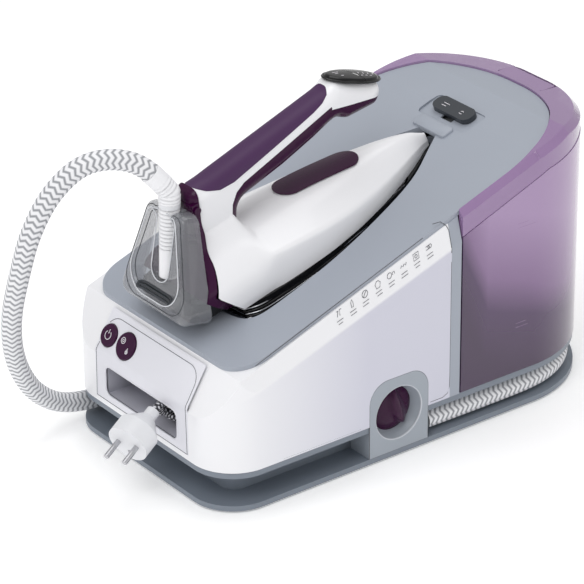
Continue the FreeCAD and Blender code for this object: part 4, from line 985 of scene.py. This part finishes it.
def ring_points(radius, start=0, end=360, centre=(0, 0), count=28):
    return [(centre[0] + radius * math.cos(math.radians(start + (end - start) * k / count)),
             centre[1] + radius * math.sin(math.radians(start + (end - start) * k / count)))
            for k in range(count + 1)]


ICON_OUT, ICON_LINE = 2.4, 0.00034
POWER_SHAPES = [ring_points(3.9, 125, 415), [(0, 1.6), (0, 3), (0, 5.4)]]
MODE_SHAPES = [ring_points(2.7, 0, 360, (-4.6, 3.4)), ring_points(1.1, 0, 360, (-4.6, 3.4), 12),
               ring_points(1.5, 0, 360, (4.6, -4.4), 12), ring_points(0.7, 0, 360, (4.6, -4.4), 12),
               [(3.6, -3.2), (4.6, -0.6), (5.6, -3.2)]]
strokes("power_icon", [icon(POWER_AT, ICON_OUT, shape) for shape in POWER_SHAPES], ICON_LINE, icon_white,
        "power_button")
strokes("mode_icon", [icon(MODE_AT, ICON_OUT, shape) for shape in MODE_SHAPES], ICON_LINE, icon_white,
        "mode_button")

# ---- side wall: seams, icon strip, dial
CREASE_FRONT, STRIP_HEIGHT, STRIP_LEAN = 101, 31, 9


def on_side(distance, above_crease, out=0.0):
    """Point on the near side wall by its distance behind the front and height over the slanting crease."""
    inward = STRIP_LEAN * max(0, above_crease) / STRIP_HEIGHT
    return station(distance, inward - out, CREASE_FRONT + CREASE_RISE * distance + above_crease)


FIRST_ICON, ICON_GAP, ICON_HEIGHT = 127, 13.9, 14.5


def side_icon(index, points):
    """Line of one icon on the strip, right and up from its middle in millimetres."""
    distance = FIRST_ICON + ICON_GAP * index
    return [on_side(distance + x, ICON_HEIGHT + y, 0.1) for x, y in points]


def square(size):
    return [(-size, -size), (size, -size), (size, size), (-size, size), (-size, -size)]


ICON_SHAPES = [(0, [(-2.6, 2.2), (-0.8, 2.2), (-2.2, -2.4)]), (0, [(0.6, -2.4), (0.6, 2.4), (2.6, 2.4)]),
              (1, [(-1, -3), (1, -3), (1.1, 1), (0, 3.2), (-1.1, 1), (-1, -3)]),
              (2, ring_points(2.9)), (2, [(-1.8, -1.8), (0, 0.6), (1.9, 1.8)]),
              (3, [(-2.8, 0.8), (-1, 2.8), (1, 2.8), (2.8, 0.8), (1.7, -3), (-1.7, -3), (-2.8, 0.8)]),
              (4, ring_points(2.3, 0, 360, (-1.2, 0))), (4, [(2.2, -1), (2.2, 1), (4.2, 1), (4.2, -1)]),
              (5, [(-3, -0.8), (-1.8, 1), (-0.4, -0.8), (1, 1), (2.4, -0.8), (3.4, 1)]),
              (6, square(2.8)), (6, ring_points(1.3)),
              (7, [(-3, 1.4), (2.4, 1.4), (3.2, 0), (2.4, -1.4), (-3, -1.4)]), (7, ring_points(0.9))]
icon_lines = [side_icon(index, points) for index, points in ICON_SHAPES]
for i in range(8):
    icon_lines.append(side_icon(i, [(-3.4, -6), (0, -6), (3.2, -6)]))
    icon_lines.append(side_icon(i, [(-2.2 - (i % 3) * 0.8, -8.8), (0, -8.8), (2.4 + (i % 2), -8.8)]))
strokes("side_icons", icon_lines, 0.00027, ink_grey, "station")
side_seam = [station(d, 0.35, 40.5) for d in range(64, 152, 4)]
rear_seam = [station(d, 0.2, 41.5) for d in (225, 232, 239)]
rear_seam += [station(244.5, 0.2, 44), station(246.6, 0.2, 50)]
rear_seam += [station(246.8, 0.2, z) for z in range(60, 180, 8)]
strokes("side_seams", [side_seam, rear_seam], 0.0004, ink_grey, "station")
wall_top = [on_side(246.8, -4 + k * 5) for k in range(5)]
wall_top += [on_side(245, 21), on_side(240, 27), on_side(232, 29.6)]
deck_edge = [on_side(d, 20.2 + 0.02 * d, 0.1) for d in range(40, 226, 6)]
strokes("strip_seam", [wall_top, deck_edge], 0.0004, ink_grey, "station")

DIAL_X, DIAL_Z, DIAL_RADIUS = 190, 43, 26


def on_dial(across, up, depth):
    return station(DIAL_X + across, depth, DIAL_Z + up)


arch = outline_points([(-32.5, -36), (32.5, -36), (32.5, 36), (-32.5, 36)], [0, 0, 20, 20], 2)
strokes("arch_seam", [[on_dial(p.x, p.y, 0.3) for p in looped(arch)]], 0.0004, ink_grey, "station")
rim_grey = moulded("rim_grey", srgb(196, 200, 207), 0.3, 1500, 0.00001, 0.02, 0.3)
rim_line = [on_dial(DIAL_RADIUS * math.cos(a / 36 * math.pi), DIAL_RADIUS * math.sin(a / 36 * math.pi), 1.1)
            for a in range(72)]
strokes("dial_rim", [rim_line + [on_dial(DIAL_RADIUS, 0, 1.1)]], 0.0011, rim_grey, "station", 8)
KNOB_RADIUS, KNOB_RINGS, TURNS = 22.5, 18, 72
knob_rows = []
for ring in range(KNOB_RINGS + 1):
    for k in range(TURNS):
        reach = KNOB_RADIUS * math.sin(ring / KNOB_RINGS * math.pi / 2)
        x, z = reach * math.cos(2 * math.pi * k / TURNS), reach * math.sin(2 * math.pi * k / TURNS)
        dome = 13.5 - 6.5 * math.sqrt(max(0, 1 - (reach / KNOB_RADIUS) ** 2))
        lean_x, lean_z = x * 0.94 + z * 0.34, z * 0.94 - x * 0.34
        wall = smoothstep((lean_x + 5 - 0.02 * lean_z ** 2) / 3.5) * smoothstep((13 - lean_x) / 10)
        depth = dome - 4.0 * wall * smoothstep((KNOB_RADIUS - reach) / 3.5)
        knob_rows.append(on_dial(x, z, depth))
knob_faces = [(r * TURNS + k, r * TURNS + (k + 1) % TURNS, (r + 1) * TURNS + (k + 1) % TURNS,
               (r + 1) * TURNS + k) for r in range(KNOB_RINGS) for k in range(TURNS)]
knob = mesh_object("dial_grip", knob_rows, knob_faces, purple_gloss)
outward(knob, 1e-6)
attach(knob, "dial")
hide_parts("dial_knob")

# ---- deck: nose block and lock marks
DECK_SLOPE, DECK_START, DECK_FRONT_HEIGHT = 0.36, 24, 130
DECK_LEAN = math.atan(DECK_SLOPE)


def on_deck(distance, across, up):
    """Point on the sloping deck: distance behind the front, across from the middle, and up from it."""
    height = DECK_FRONT_HEIGHT + DECK_SLOPE * (distance - DECK_START)
    return Vector((distance - LENGTH / 2 - up * math.sin(DECK_LEAN), across,
                   height + up * math.cos(DECK_LEAN))) * MM


def soft_block(name, place_at, length, width, low, high, radius, material, body):
    """Rounded slab on the deck."""
    outline = outline_points([(-length / 2, -width / 2), (length / 2, -width / 2), (length / 2, width / 2),
                              (-length / 2, width / 2)], [radius] * 4, 1.2)
    rings = [(0, low), (0, high - 1.2), (0.35, high - 0.35), (1.2, high)]
    vertices, faces, count = [], [], len(outline)
    for inset, up in rings:
        for p in outline:
            pull = 1 - inset / max(4, p.length)
            vertices.append(on_deck(place_at[0] + p.x * pull * math.cos(DECK_LEAN),
                                    place_at[1] + p.y * pull, up))
    for r in range(len(rings) - 1):
        for k in range(count):
            m = (k + 1) % count
            faces.append((r * count + k, r * count + m, (r + 1) * count + m, (r + 1) * count + k))
    faces.append(tuple((len(rings) - 1) * count + k for k in range(count)))
    item = mesh_object(name, vertices, faces, material)
    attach(item, body)
    return item


soft_block("nose_block", (322, 0), 14, 44, -3, 2.6, 3, deck_plastic, "station")
strokes("lock_marks", [[on_deck(347.5, y, 3.6) for y in (14, 10, 6)],
                       [on_deck(344.5, y, 3.6) for y in (14, 11, 8)],
                       [on_deck(347.5 - abs(t) * 0.4, -12 + t * 0.9, 3.6) for t in (-2, -1, 0, 1, 2)],
                       [on_deck(344 + abs(t) * 0.2, -12 + t * 0.9, 3.6) for t in (-2, -1, 0, 1, 2)]],
        0.00034, icon_white, "nose_lock")

# ---- tank marks
strokes("tank_marks", [[station(d, 0.2, 88) for d in (322, 328, 334)],
                       [station(d, 0.2, 84) for d in (322, 329, 336)],
                       [station(d, 0.2, 186) for d in (322, 328, 334)],
                       [station(d, 0.2, 182) for d in (322, 332, 342)]], 0.0003, lid_clear, "tank")

# ---- steam hose
HOSE_DIAMETER = 0.018
HOSE_Z = 17.5
GROOVE, FAR_GROOVE = 14, 223
REAR_CENTRE, REAR_BEND, REAR_STEP = 345, 91, 30
hose_points = [station(228.5, GROOVE, HOSE_Z), station(304, GROOVE - 1.4, HOSE_Z)]
for centre_y, first in ((GROOVE + REAR_BEND, -90), (FAR_GROOVE - REAR_BEND, 0)):
    for i in range(3):
        angle = math.radians(first + REAR_STEP * (i + 0.5))
        reach = REAR_BEND / math.cos(math.radians(REAR_STEP / 2))
        hose_points.append(station(REAR_CENTRE + reach * math.cos(angle),
                                   centre_y + reach * math.sin(angle), HOSE_Z))
hose_points += [station(300, FAR_GROOVE + 1, HOSE_Z), station(222, FAR_GROOVE - 0.6, HOSE_Z),
                station(142, FAR_GROOVE + 1.2, HOSE_Z), station(62, FAR_GROOVE - 0.2, HOSE_Z),
                station(-4, 224, 18), station(-45, 217, 45), station(-72, 206, 91), station(-84, 190, 143),
                station(-82, 175, 191), station(-75, 166, 232), station(-55, 160, 268),
                station(-26, 149, 292)]
hose_end = on_iron(*HOSE_END)
hose_way = (hose_end - on_iron(*SLEEVE_BEND)).normalized()
hose_points += [hose_end + hose_way * 0.018, hose_end]
hose_line = nurbs_line(hose_points)


def braid_relief(turn, along):
    """Low zigzag ridges of the braid."""
    across = abs((turn * ZIGZAGS + 0.5) % 1 - 0.5)
    return 0.0003 * abs((along * BANDS + across) % 1 - 0.5)


hose, hose_path = tube_mesh("braided_hose", hose_line, HOSE_DIAMETER / 2 - 0.0001, 32, hose_braid, 0.0011,
                            braid_relief)
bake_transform(hose)
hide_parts("steam_hose")

# ---- mains cord
CORD_DIAMETER = 0.007
PLUG_WAY = Vector((-0.88, -0.29, -0.37)).normalized()
PLUG_FACE = station(-48, 70, 62.5)
plug_back = PLUG_FACE - PLUG_WAY * 0.040
cord_entry = station(7, 92, 67)
HANK_X, HANK_Y = (7, 84), (66, 128)
TURN_GAP, LAYER_HEIGHTS, TURNS_IN_LAYER, STEPS_ROUND = 7.4, (61.2, 68.4, 75.4), 3, 14
hank_points = []
for layer, height in enumerate(LAYER_HEIGHTS):
    for turn in range(TURNS_IN_LAYER):
        ring = turn if layer % 2 == 0 else 2 - turn
        inset = 3.7 + TURN_GAP * ring + (0.5 if layer == 1 else 0)
        front, rear = HANK_X[0] + inset, HANK_X[1] - inset
        near, far = HANK_Y[0] + inset, HANK_Y[1] - inset
        middle, reach = (near + far) / 2, (far - near) / 2
        for step in range(STEPS_ROUND):
            angle = 2 * math.pi * (step + 0.5) / STEPS_ROUND + math.pi
            bow = 1.05 * reach
            centre = (front + reach if math.cos(angle) < 0 else rear - reach)
            hank_points.append(station(centre + bow * math.cos(angle) * 0.97,
                                       middle + bow * math.sin(angle) * 0.97,
                                       height + 0.25 * math.sin(3 * angle + ring)))
cord_exit = station(84, 92, 67)
cord_points = [cord_exit, station(77, 92, 68)] + hank_points[-8::-1] + [cord_entry,
        cord_entry - Vector((0.006, 0, 0)), plug_back - PLUG_WAY * 0.010, plug_back]
cord_line = nurbs_line(cord_points)
flex, flex_path = tube_mesh("mains_flex", cord_line, CORD_DIAMETER / 2, 12, cord_textile, 0.002)
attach(flex, "station")
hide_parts("mains_cord", "mains_hank")

# ---- stage
floor_data = bpy.data.meshes.new("floor")
FLOOR = 6
floor_data.from_pydata([(-FLOOR, -FLOOR, 0), (FLOOR, -FLOOR, 0), (FLOOR, FLOOR, 0), (-FLOOR, FLOOR, 0)], [],
                       [(0, 1, 2, 3)])
floor_material = bpy.data.materials.new("floor_paint")
floor_material.use_nodes = True
floor_shader = floor_material.node_tree.nodes["Principled BSDF"]
floor_shader.inputs["Base Color"].default_value = (1, 1, 1, 1)
floor_shader.inputs["Roughness"].default_value = 0.8
floor_shader.inputs["Emission Color"].default_value = (1, 1, 1, 1)
floor_shader.inputs["Emission Strength"].default_value = 0.2
floor_data.materials.append(floor_material)
floor = bpy.data.objects.new("floor", floor_data)
bpy.context.scene.collection.objects.link(floor)
